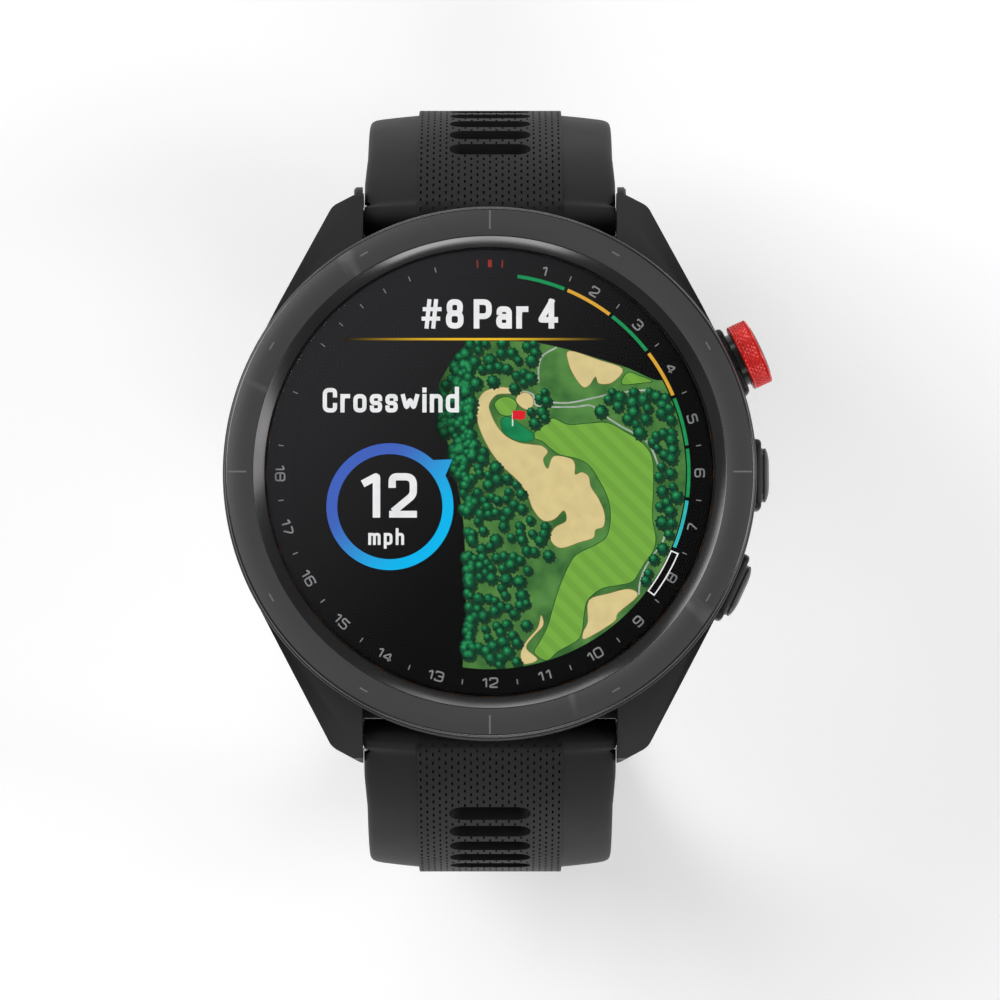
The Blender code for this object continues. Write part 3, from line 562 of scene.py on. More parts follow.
def glass():
    """Coated glass: clear, with a faint reflection that grows towards the rim of the view."""
    made, tree, shader = new_material("coated_glass")
    tree.nodes.remove(shader)
    clear = tree.nodes.new("ShaderNodeBsdfTransparent")
    gloss = tree.nodes.new("ShaderNodeBsdfGlossy")
    facing = tree.nodes.new("ShaderNodeFresnel")
    facing.inputs["IOR"].default_value = 1.22
    smear = maths(tree, "MULTIPLY_ADD", mottled(180.0, 4.0)(tree), 0.05, 0.02)
    tree.links.new(smear, gloss.inputs["Roughness"])
    blend = tree.nodes.new("ShaderNodeMixShader")
    tree.links.new(facing.outputs[0], blend.inputs[0])
    tree.links.new(clear.outputs[0], blend.inputs[1])
    tree.links.new(gloss.outputs[0], blend.inputs[2])
    out = next(n for n in tree.nodes if n.type == "OUTPUT_MATERIAL")
    tree.links.new(blend.outputs[0], out.inputs["Surface"])
    return made


# ---------------------------------------------------------------- the case, the bezel and the glass


CASE_RADIUS = 23.5
CASE_FLOOR, CASE_ROOF = 1.9, 12.2
LUG_ROUND = 1.8
PIN_ROOM = 2.2
GAP_HALF = 11.25
GAP_END = PIN_Y + 8.0
GAP_TOP = LIFT + 13.2
SCREW_CIRCLE = 20.4


def sideways(sign=1):
    """Stands a side view's (y, z) outline up across the model, mirrored to 6 o'clock where sign is -1."""
    return Matrix(((0, 0, 1, 0), (sign, 0, 0, 0), (0, 1, 0, 0), (0, 0, 0, 1)))


def lug_block():
    """All four lugs in one block, with soft edges: the plan outline, trimmed by the side outline."""
    flank = (CASE_RADIUS * math.cos(math.radians(30)), CASE_RADIUS * math.sin(math.radians(30)))
    quarter = [flank, (14.0, 24.0), (11.4, 25.4)]
    right = [(x, -y) for x, y in quarter[::-1]] + quarter
    outline = rounded(right + [(-x, -y) for x, y in right], 1.6, 5)
    plan = prism("lugs", outline, LIFT + CASE_FLOOR, LIFT + CASE_ROOF)
    arc = (math.radians(d) for d in range(60, 181, 12))
    end = [(PIN_Y + LUG_ROUND * math.sin(a), PIN_Z + LUG_ROUND * math.cos(a)) for a in arc]
    half = [(0, LIFT + 10.4), (15.0, LIFT + 10.4), (25.0, LIFT + 6.4)] + end + [(0, PIN_Z - LUG_ROUND)]
    side = half + [(-y, z) for y, z in half[-2:0:-1]]
    combine(plan, prism("lug_side", side, -25, 25, sideways()), "INTERSECT")
    return softened(cut(plan, lug_gap(1), lug_gap(-1)), 0.4, 40.0)


def lug_gap(sign):
    """The open room above the strap's end, between a pair of lugs and up to the round case."""
    shelf, inner = PIN_Z + PIN_ROOM, PIN_Y - PIN_ROOM
    outline = [
        (10.0, shelf), (inner, shelf), (inner, PIN_Z), (GAP_END, PIN_Z), (GAP_END, GAP_TOP),
        (10.0, GAP_TOP),
    ]
    return prism("gap", outline, -GAP_HALF, GAP_HALF, sideways(sign))


def strap_pocket(sign):
    """The round room for the strap's end, open below and outward."""
    arc = [math.radians(d) for d in range(0, 91, 9)]
    outline = [(PIN_Y - PIN_ROOM * math.sin(a), PIN_Z + PIN_ROOM * math.cos(a)) for a in arc]
    low = LIFT - 3.0
    outline += [(PIN_Y - PIN_ROOM, low), (GAP_END, low), (GAP_END, PIN_Z + PIN_ROOM)]
    return softened(prism("pocket", outline, -GAP_HALF, GAP_HALF, sideways(sign)), 0.1, 60.0, 2)


def button_bore(angle, is_round):
    """One button's pocket, the room its spring travels in, and its stem's hole."""
    place = along_radius(angle)
    if is_round:
        pocket = turned("pocket", [(0, 22.7), (2.55, 22.7), (2.55, 26.0), (0, 26.0)], 64, place)
    else:
        pocket = prism("pocket", rounded(rectangle(1.75, 2.55), 1.45), 22.5, 26.5, place)
    bore = [(0, 20.0), (0.8, 20.0), (0.8, 20.78), (2.0, 20.78), (2.0, 23.0), (0, 23.0)]
    return joined(pocket, turned("bore", bore, 32, place))


def screw_places():
    for k in range(4):
        a = math.radians(45 + 90 * k)
        yield k + 1, SCREW_CIRCLE * math.cos(a), SCREW_CIRCLE * math.sin(a)


def make_case_shell():
    profile = [
        (0, CASE_FLOOR), (21.7, CASE_FLOOR), (22.1, 2.15), (22.9, 3.2), (23.35, 4.4),
        (CASE_RADIUS, 5.6), (CASE_RADIUS, 11.7), (23.44, 11.95), (23.3, 12.12), (23.1, CASE_ROOF),
        (0, CASE_ROOF),
    ]
    shell = turned("case_shell", [(r, z + LIFT) for r, z in profile], 192)
    joined(shell, lug_block())
    for sign in (-1, 1):
        boss = [(0, 11.35), (2.35, 11.35), (2.35, 11.9), (2.15, 12.1), (0, 12.1)]
        place = along_x(PIN_Y, PIN_Z)
        joined(shell, turned("boss", boss, 48, Matrix.Scale(sign, 4, (1, 0, 0)) @ place))
    for angle in BUTTON_ANGLES.values():
        guard = prism("guard", rounded(rectangle(2.4, 3.15), 1.0), 21.5, 23.95, along_radius(angle))
        joined(shell, softened(guard, 0.35, 50.0))
    bore = [(0, 0), (19.4, 0), (19.4, 3.5), (20.6, 3.5), (20.6, 13.2), (0, 13.2)]
    cut(shell, turned("bore", [(r, z + LIFT) for r, z in bore], 192))
    groove = [(21.3, 11.7), (22.3, 11.7), (22.3, 13.2), (21.3, 13.2)]
    cut(shell, turned("groove", [(r, z + LIFT) for r, z in groove], 192))
    for sign in (-1, 1):
        cut(shell, strap_pocket(sign))
        hole = [(0, -13.0), (0.95, -13.0), (0.95, 13.0), (0, 13.0)]
        cut(shell, turned("pin_hole", hole, 32, along_x(sign * PIN_Y, PIN_Z)))
    for name, angle in BUTTON_ANGLES.items():
        cut(shell, button_bore(angle, name == "action"))
    for _, x, y in screw_places():
        hole = [(0, LIFT + 1.0), (0.55, LIFT + 1.0), (0.55, LIFT + 3.4), (0, LIFT + 3.4)]
        cut(shell, turned("screw_hole", hole, 20, Matrix.Translation((x, y, 0))))
    piece(shell, "case", [case_finish()], ("case_body",))


def make_bezel():
    satin = surface("satin_bezel", colours().bezel, 0.36, 0.92, 0.07, 0.86, 7000.0, 0.0016, 60.0, edge_highlight=0.4)
    bright = linear(88, 87, 88)
    polished = surface("polished_bevel", bright, 0.2, 1.0, 0.1, 0.6, 4000.0, 0.001, 90.0, lines=16000.0)
    flat, low = TOP - 0.01, LIFT + 12.35
    edge, opening = BEZEL_RADIUS, 19.76
    profile = [
        (opening, low), (edge - 0.1, low), (edge, LIFT + 12.45), (edge, TOP - 0.24),
        (edge - 0.05, TOP - 0.11), (edge - 0.13, TOP - 0.04), (edge - 0.24, flat), (20.80, flat),
        (20.73, flat - 0.02), (20.68, flat - 0.05), (19.81, TOP - 0.62), (opening, TOP - 0.68),
    ]
    finishes = [0, 0, 0, 1, 1, 1, 0, 1, 1, 1, 1, 1]
    bezel = turned("bezel_ring", profile, 288, None, finishes)
    piece(bezel, "case", [satin, polished], ("bezel",), 55.0)
    bm = bmesh.new()
    mark_z = TOP - 0.004
    for hour in range(12):
        clock = 30.0 * hour
        if hour % 3 == 0:
            ribbon(bm, [polar(21.35, clock), polar(23.0, clock)], sizes().mark_width / MM, mark_z)
        else:
            ribbon(bm, [polar(22.1, clock + d) for d in (-1.0, 0.0, 1.0)], 0.13, mark_z)
    marks = surface("etched_marks", linear(122, 122, 123), 0.4, 0.3, 0.1, 0.8, 8000.0, 0.002, 2000.0)
    piece(new_object("bezel_marks", bm), "case", [marks])


def make_glass():
    low, high, edge = LENS_LOW, LENS_HIGH, LENS_RADIUS
    profile = [(0, low), (edge - 0.25, low), (edge, low + 0.25), (edge, high - 0.25)]
    profile += [(edge - 0.03, high - 0.12), (edge - 0.1, high - 0.03), (edge - 0.22, high), (0, high)]
    piece(turned("watch_glass", profile, 256), "case", [glass()], ("lens",))


# ---------------------------------------------------------------- the dial and the screen


def ribbon(bm, points, width, z, closed=False, finish=0):
    """A flat band of even width along the points, mitred at its corners."""
    points = [Vector(p) for p in points]
    count = len(points)
    edges = []
    for i, here in enumerate(points):
        back = points[i - 1] if closed or i else here
        ahead = points[(i + 1) % count] if closed or i < count - 1 else here
        before, after = here - back, ahead - here
        before = before.normalized() if before.length > 1e-9 else after.normalized()
        after = after.normalized() if after.length > 1e-9 else before
        normal = Vector((-(before.y + after.y), before.x + after.x))
        normal = normal.normalized() if normal.length > 1e-6 else Vector((-after.y, after.x))
        lean = max(0.4, normal.dot(Vector((-after.y, after.x))))
        reach = width / 2 / lean
        left, right = here + normal * reach, here - normal * reach
        edges.append((bm.verts.new((*left, z)), bm.verts.new((*right, z))))
    pairs = list(zip(edges, edges[1:] + edges[:1])) if closed else list(zip(edges, edges[1:]))
    for (a, b), (c, d) in pairs:
        bm.faces.new((a, b, d, c)).material_index = finish


DIGITS = {
    "0": [([(0, 0), (1, 0), (1, 1), (0, 1)], True)],
    "1": [([(0.1, 0.74), (0.58, 1), (0.58, 0)], False)],
    "2": [([(0, 0.72), (0, 1), (1, 1), (1, 0.52), (0, 0.16), (0, 0), (1, 0)], False)],
    "3": [([(0, 0.8), (0, 1), (1, 1), (1, 0), (0, 0), (0, 0.2)], False), ([(0.35, 0.52), (1, 0.52)], False)],
    "4": [([(0.74, 0), (0.74, 1), (0, 0.34), (0, 0.25), (1.05, 0.25)], False)],
    "5": [([(1, 1), (0, 1), (0, 0.56), (1, 0.56), (1, 0), (0, 0), (0, 0.16)], False)],
    "6": [([(1, 0.84), (1, 1), (0, 1), (0, 0), (1, 0), (1, 0.56), (0, 0.56)], False)],
    "7": [([(0, 1), (1, 1), (0.38, 0)], False)],
    "8": [([(0, 0), (1, 0), (1, 1), (0, 1)], True), ([(0, 0.52), (1, 0.52)], False)],
    "9": [([(0, 0.16), (0, 0), (1, 0), (1, 1), (0, 1), (0, 0.45), (1, 0.45)], False)],
}


NUMBER_STROKE = 0.135
NUMBER_GAP = 1.45 * NUMBER_STROKE
NUMBER_CORNER = 0.26
NARROW_ONE, ONE_SHIFT = 0.62, 0.02


def stroke_number(bm, text, height, width, z, place):
    """The number drawn in strokes, centred on place, a function from flat (x, y) to the dial's (x, y)."""
    inner_w, inner_h = width - NUMBER_STROKE, height - NUMBER_STROKE
    spans = {digit: NARROW_ONE if digit == "1" else 1.0 for digit in text}
    total = sum(width * spans[digit] for digit in text) + NUMBER_GAP * (len(text) - 1)
    left = -total / 2
    for digit in text:
        start = left + NUMBER_STROKE / 2
        shift = ONE_SHIFT if digit == "1" else 0
        for path, closed in DIGITS[digit]:
            mm = [(x * inner_w, y * inner_h) for x, y in path]
            mm = rounded(mm, NUMBER_CORNER * inner_h, 4, closed)
            moved = [place(start + x - shift, y - inner_h / 2) for x, y in mm]
            ribbon(bm, moved, NUMBER_STROKE, z, closed)
        left += width * spans[digit] + NUMBER_GAP


def on_dial(radius, clock, top_inward):
    """A function that sets flat (x, y) at this place on the dial, standing across the radius."""
    cx, cy = polar(radius, clock)
    turn = math.radians(clock + (180.0 if top_inward else 0.0))

    def place(x, y):
        return cx + x * math.cos(turn) + y * math.sin(turn), cy - x * math.sin(turn) + y * math.cos(turn)

    return place


def arc_points(radius, start, end):
    steps = 14
    return [polar(radius, start + (end - start) * k / steps) for k in range(steps + 1)]


NUMBER_RADIUS = 18.45
ARC_RADIUS = 17.5
HOLE_ARCS = {1: 0, 2: 1, 3: 0, 4: 1, 5: 0, 6: 0, 7: 2}


def make_dial():
    """The black ring under the glass, with its printed numbers and ticks and the lit score arcs."""
    black = dial_black()
    low, high = DIAL_TOP - 0.3, DIAL_TOP
    inner, outer = 17.4, LENS_RADIUS + 0.04
    profile = [(inner, low), (outer, low), (outer, high), (inner, high)]
    # The ring's face glows, with the screen's painted glare towards the upper left.
    piece(turned("dial_face", profile, 256), "case", [black], ("dial_ring",))
    bm = bmesh.new()
    z = high + 0.012
    height = sizes().numeral_height / MM
    for number in range(1, 19):
        place = on_dial(NUMBER_RADIUS, 15.0 * number, number > 6)
        stroke_number(bm, str(number), height, 0.86 * height, z, place)
    ticks = [22.5 + 15 * k for k in range(17)] + [277.5 + 7.5 * k for k in range(0, 5, 2)]
    ticks += [315.0 + 7.5 * k for k in range(5)]
    for clock in sorted(set(ticks)):
        ribbon(bm, [polar(18.3, clock), polar(18.75, clock)], 0.085, z)
    piece(new_object("dial_print", bm), "case", [printed()])
    bm = bmesh.new()
    for clock, width in ((0.0, 0.34), (-3.4, 0.12), (3.4, 0.12)):
        ribbon(bm, [polar(18.15, clock), polar(18.8, clock)], width, z)
    red = surface("red_print", linear(205, 60, 52), 0.5, 0.0, 0.1, 0.85, 5000.0, 0.002, 1500.0)
    piece(new_object("dial_marker", bm), "case", [red])
    make_score_arcs(z + 0.004)


def make_score_arcs(z):
    bm = bmesh.new()
    for number, finish in HOLE_ARCS.items():
        middle = 15.0 * number
        ribbon(bm, arc_points(ARC_RADIUS, middle - 7.0, middle + 7.0), 0.3, z, False, finish)
    box = arc_points(17.36, 113.3, 126.7) + arc_points(18.0, 126.7, 113.3)
    ribbon(bm, box, 0.11, z, True, 3)
    shades = [("green", (24, 140, 80), (30, 152, 90)), ("ochre", (214, 160, 50), (222, 170, 62))]
    shades += [("teal", (45, 175, 175), (55, 186, 190)), ("white", (235, 236, 238), (250, 250, 250))]
    lights = [lit(f"arc_{n}", linear(*a), linear(*b), mottled(2500.0)) for n, a, b in shades]
    piece(new_object("score_arcs", bm), "case", lights)


def printed():
    return surface("printed_ink", colours().print, 0.5, 0.0, 0.08, 0.92, 9000.0, 0.002, 2500.0)


def dial_black():
    made = bpy.data.materials.get("screen_black_painted_glare")
    if not made:
        # Painted glare: the black glows brighter towards the upper left, under the key light. This is a
        # reflection painted into the glow.
        rise = ramp_along((-0.72, 0.69, 0.0), -9.0, 22.0)
        made = lit("screen_black_painted_glare", (0.0004, 0.0004, 0.0006), linear(38, 38, 40), rise)
    return made


BOWL = [(0, 0), (0.44, 0), (0.44, 0.7), (0, 0.7)]
LETTERS = {
    "#": (0.6, [([(0.1, 0), (0.2, 1)], False), ([(0.38, 0), (0.48, 1)], False),
                ([(0, 0.3), (0.54, 0.3)], False), ([(0.05, 0.7), (0.6, 0.7)], False)]),
    "8": (0.5, [([(0, 0), (0.5, 0), (0.5, 0.53), (0, 0.53)], True),
                ([(0.03, 0.53), (0.47, 0.53), (0.47, 1), (0.03, 1)], True)]),
    "4": (0.58, [([(0.42, 0), (0.42, 1)], False), ([(0.42, 1), (0, 0.28), (0, 0.25), (0.58, 0.25)], False)]),
    "P": (0.52, [([(0, 0), (0, 1)], False), ([(0, 1), (0.52, 1), (0.52, 0.4), (0, 0.4)], False)]),
    "C": (0.5, [([(0.5, 0.74), (0.5, 1), (0, 1), (0, 0), (0.5, 0), (0.5, 0.26)], False)]),
    "a": (0.42, [([(0.02, 0.58), (0.02, 0.7), (0.42, 0.7), (0.42, 0)], False),
                 ([(0, 0), (0.42, 0), (0.42, 0.38), (0, 0.38)], True)]),
    "r": (0.27, [([(0, 0), (0, 0.7)], False), ([(0, 0.4), (0.02, 0.7), (0.27, 0.7)], False)]),
    "o": (0.44, [(BOWL, True)]),
    "s": (0.4, [([(0.4, 0.56), (0.4, 0.7), (0, 0.7), (0, 0.36), (0.4, 0.36), (0.4, 0), (0, 0),
                  (0, 0.14)], False)]),
    "w": (0.68, [([(0, 0.7), (0.17, 0.05), (0.34, 0.62), (0.51, 0.05), (0.68, 0.7)], False)]),
    "i": (0.0, [([(0, 0), (0, 0.7)], False), ([(0, 0.98), (0, 1.02)], False)]),
    "n": (0.42, [([(0, 0), (0, 0.7)], False), ([(0, 0.45), (0.02, 0.7), (0.42, 0.7), (0.42, 0)], False)]),
    "d": (0.44, [(BOWL, True), ([(0.44, 0), (0.44, 1.06)], False)]),
    "m": (0.72, [([(0, 0), (0, 0.7)], False), ([(0, 0.45), (0.02, 0.7), (0.36, 0.7), (0.36, 0)], False),
                 ([(0.36, 0.45), (0.38, 0.7), (0.72, 0.7), (0.72, 0)], False)]),
    "p": (0.44, [(BOWL, True), ([(0, 0.7), (0, -0.28)], False)]),
    "h": (0.42, [([(0, 0), (0, 1.06)], False), ([(0, 0.45), (0.02, 0.7), (0.42, 0.7), (0.42, 0)], False)]),
}


LETTER_CORNERS = {"w": 0.08}
LETTER_STROKES = {"#": 0.72}
SPACE_GAPS = 1.3


def stroke_words(bm, words, low, high, stroke, z, tall=1.0, deep=0.0):
    """Plain upright lettering in even strokes, spread to fill the box between two corners."""
    unit = (high[1] - low[1] - stroke) / (tall + deep)
    base = low[1] + stroke / 2 + deep * unit
    letters = [word for word in words if word != " "]
    taken = sum(LETTERS[letter][0] * unit + stroke for letter in letters)
    spaces = words.count(" ")
    gap = (high[0] - low[0] - taken) / (len(letters) - 1 + SPACE_GAPS * spaces)
    x = low[0] + stroke / 2
    for letter in words:
        if letter == " ":
            x += SPACE_GAPS * gap
            continue
        width, paths = LETTERS[letter]
        for path, closed in paths:
            mm = [Vector((x + u * unit, base + v * unit)) for u, v in path]
            if not closed:
                mm[0] += (mm[0] - mm[1]).normalized() * stroke / 2
                mm[-1] += (mm[-1] - mm[-2]).normalized() * stroke / 2
            mm = rounded(mm, LETTER_CORNERS.get(letter, 0.24) * unit, 6, closed)
            ribbon(bm, mm, stroke * LETTER_STROKES.get(letter, 1.0), z, closed)
        x += width * unit + stroke + gap


LINE_LEFT, LINE_LENGTH, LINE_Y = -13.6, 24.3, 11.82
LINE_PARTS = 24


def make_screen():
    """The lit panel: the hole's title, a thin gold line, the wind and its speed."""
    low, high = SCREEN_TOP - 0.4, SCREEN_TOP
    glow = turned("screen_face", [(0, low), (18.2, low), (18.2, high), (0, high)], 192)
    # The screen's black glows with a painted glare towards the upper left.
    piece(glow, "case", [dial_black()], ("display_panel",))
    z = high + 0.09
    bm = bmesh.new()
    stroke_words(bm, "#8 Par 4", (-6.02, 12.75), (6.0, 15.35), 0.5, z)
    stroke_words(bm, "Crosswind", (-14.72, 5.35), (-2.72, 7.62), 0.37, z, 1.06)
    stroke_words(bm, "mph", (-10.7, -6.65), (-7.55, -4.85), 0.25, z, 1.06, 0.28)
    stroke_speed(bm, z)
    white = lit("white_letters", linear(228, 229, 230), linear(240, 240, 241), mottled(800.0))
    piece(new_object("screen_words", bm), "case", [white])
    bm = bmesh.new()
    for k in range(LINE_PARTS):
        x = LINE_LEFT + LINE_LENGTH * k / LINE_PARTS
        ribbon(bm, [(x, LINE_Y), (x + LINE_LENGTH / LINE_PARTS, LINE_Y)], 0.2, z)
    bmesh.ops.remove_doubles(bm, verts=bm.verts, dist=1e-5)
    gold = lit("gold_line", (0.004, 0.004, 0.004), linear(240, 190, 40), gold_fade)
    piece(new_object("gold_line", bm), "case", [gold])
    make_wind_ring(z)


def gold_fade(tree):
    """Full in the middle of the line, and nothing at its ends."""
    left = ramp_along((1, 0, 0), LINE_LEFT, -2.0)(tree)
    right = ramp_along((-1, 0, 0), -10.6, 0.5)(tree)
    return maths(tree, "MULTIPLY", left, right)


def stroke_speed(bm, z):
    """The wind speed, 12, in rounded strokes."""
    one = rounded([(-11.2, -0.95), (-9.98, -0.3), (-9.98, -3.92)], 0.1, 3, False)
    ribbon(bm, one, 0.66, z)
    two = [(-8.6, -1.3), (-8.6, -0.32), (-6.74, -0.32), (-6.74, -1.9), (-8.6, -3.6), (-6.42, -3.6)]
    head = rounded(two[:5], 0.82, 7, False)
    ribbon(bm, head[:-1] + [(-8.52, -3.4)], 0.64, z)
    ribbon(bm, [(-8.86, -3.62), (-6.42, -3.62)], 0.6, z + 0.001)


WIND_CENTRE = (-8.8, -2.95)


def make_wind_ring(z):
    """A ring that turns from indigo to cyan, with a pointer at its upper right."""
    bm = bmesh.new()
    cx, cy = WIND_CENTRE
    circle = [polar(5.11, 3.0 * k) for k in range(120)]
    ribbon(bm, [(cx + x, cy + y) for x, y in circle], 0.96, z, True)
    tip = [(-5.12, 1.15), (-3.3, 1.22), (-3.95, -0.3), (-4.55, 0.25)]
    bm.faces.new([bm.verts.new((x, y, z + 0.002)) for x, y in tip])
    along = (0.75, -0.66, 0.0)
    middle = cx * along[0] + cy * along[1]
    rise = ramp_along(along, middle - 3.6, middle + 4.6)
    blue = lit("wind_blue", linear(66, 98, 188), linear(6, 182, 238), rise)
    piece(new_object("wind_ring", bm), "case", [blue])


# ---------------------------------------------------------------- the hole's map


def smooth_loop(points, steps=4, closed=True):
    """A rounder line through the points."""
    count = len(points)
    out = []
    last = count if closed else count - 1
    for i in range(last):
        if closed:
            p = [Vector(points[(i + k) % count]) for k in (-1, 0, 1, 2)]
        else:
            p = [Vector(points[min(max(i + k, 0), count - 1)]) for k in (-1, 0, 1, 2)]
        for k in range(steps):
            t = k / steps
            a = 2 * p[1] + (p[2] - p[0]) * t
            b = (2 * p[0] - 5 * p[1] + 4 * p[2] - p[3]) * t * t
            c = (3 * p[1] - p[0] - 3 * p[2] + p[3]) * t ** 3
            out.append(tuple((a + b + c) / 2))
    if not closed:
        out.append(tuple(points[-1]))
    return out


def inside(point, loop):
    x, y = point
    hit = False
    for (ax, ay), (bx, by) in zip(loop, loop[1:] + loop[:1]):
        if (ay > y) != (by > y) and x < (bx - ax) * (y - ay) / (by - ay) + ax:
            hit = not hit
    return hit


MAP_RADIUS = 17.3
MAP_EDGE = [
    (-2.4, -17.1), (-2.1, -13.5), (-2.1, -10.0), (-2.2, -6.6), (-2.4, -3.6), (-2.9, -0.8), (-3.4, 1.6),
    (-3.9, 3.2), (-4.6, 4.4), (-4.6, 7.3), (-4.0, 8.8), (-2.9, 10.4), (-1.4, 11.5), (3.3, 11.6),
    (6.9, 10.9), (9.6, 10.1), (12.1, 9.3), (14.3, 8.3), (15.2, 8.2),
]
FAIRWAY = [
    (3.9, 3.55), (5.0, 4.4), (5.6, 4.85), (6.9, 4.3), (8.6, 4.4), (10.4, 4.45), (12.0, 3.6),
    (13.4, 2.7), (14.3, 1.3), (14.4, -1.2), (14.3, -3.9), (14.6, -5.6), (14.4, -6.8), (13.5, -8.1),
    (12.6, -9.5), (11.2, -9.9), (9.8, -10.2), (8.6, -11.2), (8.3, -12.4), (8.1, -14.0), (7.6, -14.8),
    (6.0, -15.7), (5.0, -16.5), (3.9, -15.8), (4.4, -14.8), (5.1, -13.4), (5.6, -11.6), (6.2, -9.8),
    (7.0, -8.0), (7.7, -7.1), (9.3, -6.3), (10.3, -5.5), (10.6, -3.9), (10.4, -2.3), (9.6, -0.6),
    (8.7, 0.7), (7.6, 1.3), (6.2, 1.6), (5.3, 2.2), (4.6, 2.8), (3.9, 3.1),
]
LONG_BUNKER = [
    (2.9, 7.1), (1.2, 7.6), (-0.3, 7.3), (-1.0, 6.5), (-1.2, 5.3), (-0.9, 3.9), (-0.1, 2.2),
    (1.0, 0.7), (2.4, -0.6), (3.3, -1.9), (3.8, -3.2), (4.7, -4.2), (5.7, -4.05), (6.5, -3.3),
    (6.7, -4.2), (5.7, -4.8), (5.3, -5.8), (6.2, -6.6), (7.9, -6.1), (9.1, -5.7), (9.3, -5.0),
    (10.0, -4.7), (10.1, -3.6), (9.6, -2.3), (8.9, -1.2), (8.7, -0.3), (8.1, 0.1), (7.5, -0.1),
    (7.5, 0.7), (7.1, 1.3), (5.6, 1.5), (5.1, 0.4), (4.7, 1.2), (5.1, 1.9), (4.6, 2.4), (4.0, 2.5),
    (2.6, 2.7), (1.4, 3.3), (0.6, 4.2), (0.0, 5.5), (0.0, 6.2), (0.6, 6.9), (1.6, 7.0),
]
TOP_BUNKER = [
    (7.0, 10.8), (6.9, 9.8), (7.4, 8.6), (8.2, 7.6), (8.8, 7.8), (9.3, 8.5), (9.6, 7.9), (10.8, 8.0),
    (11.7, 9.2), (9.6, 10.0),
]
LOW_BUNKER = [
    (8.7, -11.2), (10.4, -10.6), (12.2, -10.2), (13.0, -10.8), (11.3, -12.3), (10.9, -13.1),
    (8.4, -14.6), (8.2, -14.0), (8.6, -13.1),
]
TEE_BUNKER = [
    (4.5, -12.5), (4.7, -13.4), (3.8, -14.4), (3.2, -15.4), (4.2, -16.4), (3.0, -16.8), (2.7, -15.9),
    (3.2, -14.8), (4.2, -13.6),
]
SMALL_BUNKER = [(2.3, 6.4), (2.6, 7.0), (3.3, 7.1), (3.8, 6.6), (3.8, 6.0), (3.4, 5.6), (2.8, 5.8)]
FORE_GREEN = [(0.4, 6.1), (0.85, 6.6), (1.5, 6.75), (2.2, 6.4), (2.4, 5.8), (1.9, 5.1), (1.1, 5.1), (0.65, 5.5)]
GREEN = [
    (1.0, 4.75), (1.6, 5.0), (2.4, 4.5), (3.2, 3.95), (3.9, 3.45), (3.8, 2.95), (3.1, 2.75),
    (2.1, 2.95), (1.2, 3.6), (1.0, 4.2),
]
SIDE_LAWN = [(12.2, 8.9), (11.6, 8.2), (11.8, 7.8), (13.0, 7.9), (14.3, 8.1), (13.2, 8.6)]
PATHS = [
    [(5.9, 11.1), (4.7, 10.4), (4.3, 9.4), (4.3, 8.0)],
    [(2.2, 7.0), (3.0, 7.2), (3.8, 6.9), (4.0, 6.05), (5.0, 5.85), (7.5, 5.85), (8.95, 5.95), (10.2, 5.0),
     (11.6, 4.1)],
    [(11.6, 4.1), (13.5, 3.05), (14.25, 2.15), (14.8, 0.7)],
    [(4.3, 6.4), (6.0, 6.2), (7.3, 6.25), (8.95, 6.6), (10.6, 6.95), (12.7, 7.25), (14.3, 7.35)],
    [(15.4, -3.8), (15.3, -5.8), (13.9, -7.9), (13.25, -9.4), (13.1, -10.7)],
]


def map_outline():
    start = math.degrees(math.atan2(15.2, 8.2))
    rim = [polar(MAP_RADIUS, start + (187.9 - start) * k / 60) for k in range(61)]
    return smooth_loop(MAP_EDGE, 3, False) + rim


def area(bm, loop, z, finish):
    """A filled patch, kept inside the map's round edge."""
    points = []
    for x, y in loop:
        reach = math.hypot(x, y)
        share = min(1.0, (MAP_RADIUS - 0.05) / reach) if reach else 1.0
        points.append((x * share, y * share, z))
    bm.faces.new([bm.verts.new(point) for point in points]).material_index = finish


def tree_shape(chance, x, y, size, points=9):
    turn = chance.uniform(0, math.pi)
    out = []
    for k in range(2 * points):
        a = turn + math.pi * k / points
        r = size * (1.0 if k % 2 else chance.uniform(0.72, 0.84))
        out.append((x + r * math.cos(a), y + r * math.sin(a)))
    return out


MOST_TREES, MOST_TRIES = 330, 9000
FLAG_MIDDLE = (2.6, 5.2)


def tree_places(chance, outline, open_ground):
    """Random places for trees: crowded on the left and along the right edge, kept off the open ground."""
    places = []
    tries = 0
    while len(places) < MOST_TREES and tries < MOST_TRIES:
        tries += 1
        x, y = chance.uniform(-4.4, 16.6), chance.uniform(-16.9, 11.5)
        size = chance.uniform(0.42, 0.68)
        wooded = x < 5.2 or (x > 12.0 and y > -9.5) or (x > 9.4 and 5.2 < y < 8)
        if not wooded or not inside((x, y), outline) or math.hypot(x, y) > MAP_RADIUS - size * 0.8:
            continue
        near_flag = math.hypot(x - FLAG_MIDDLE[0], y - FLAG_MIDDLE[1]) < 1.0
        if x > 4.0 and y > 7.2 or (3.4 < x < 7.0 and y < -8.0) or near_flag:
            continue
        reach = size * 0.9
        probes = [(x + dx * reach, y + dy * reach) for dx, dy in ((0, 0), (1, 0), (-1, 0), (0, 1), (0, -1))]
        if any(inside(p, loop) for p in probes for loop in open_ground):
            continue
        if x > -1.5 and any(math.hypot(x - a, y - b) < (size + s) * 0.6 for a, b, s in places):
            continue
        places.append((x, y, size))
    return places


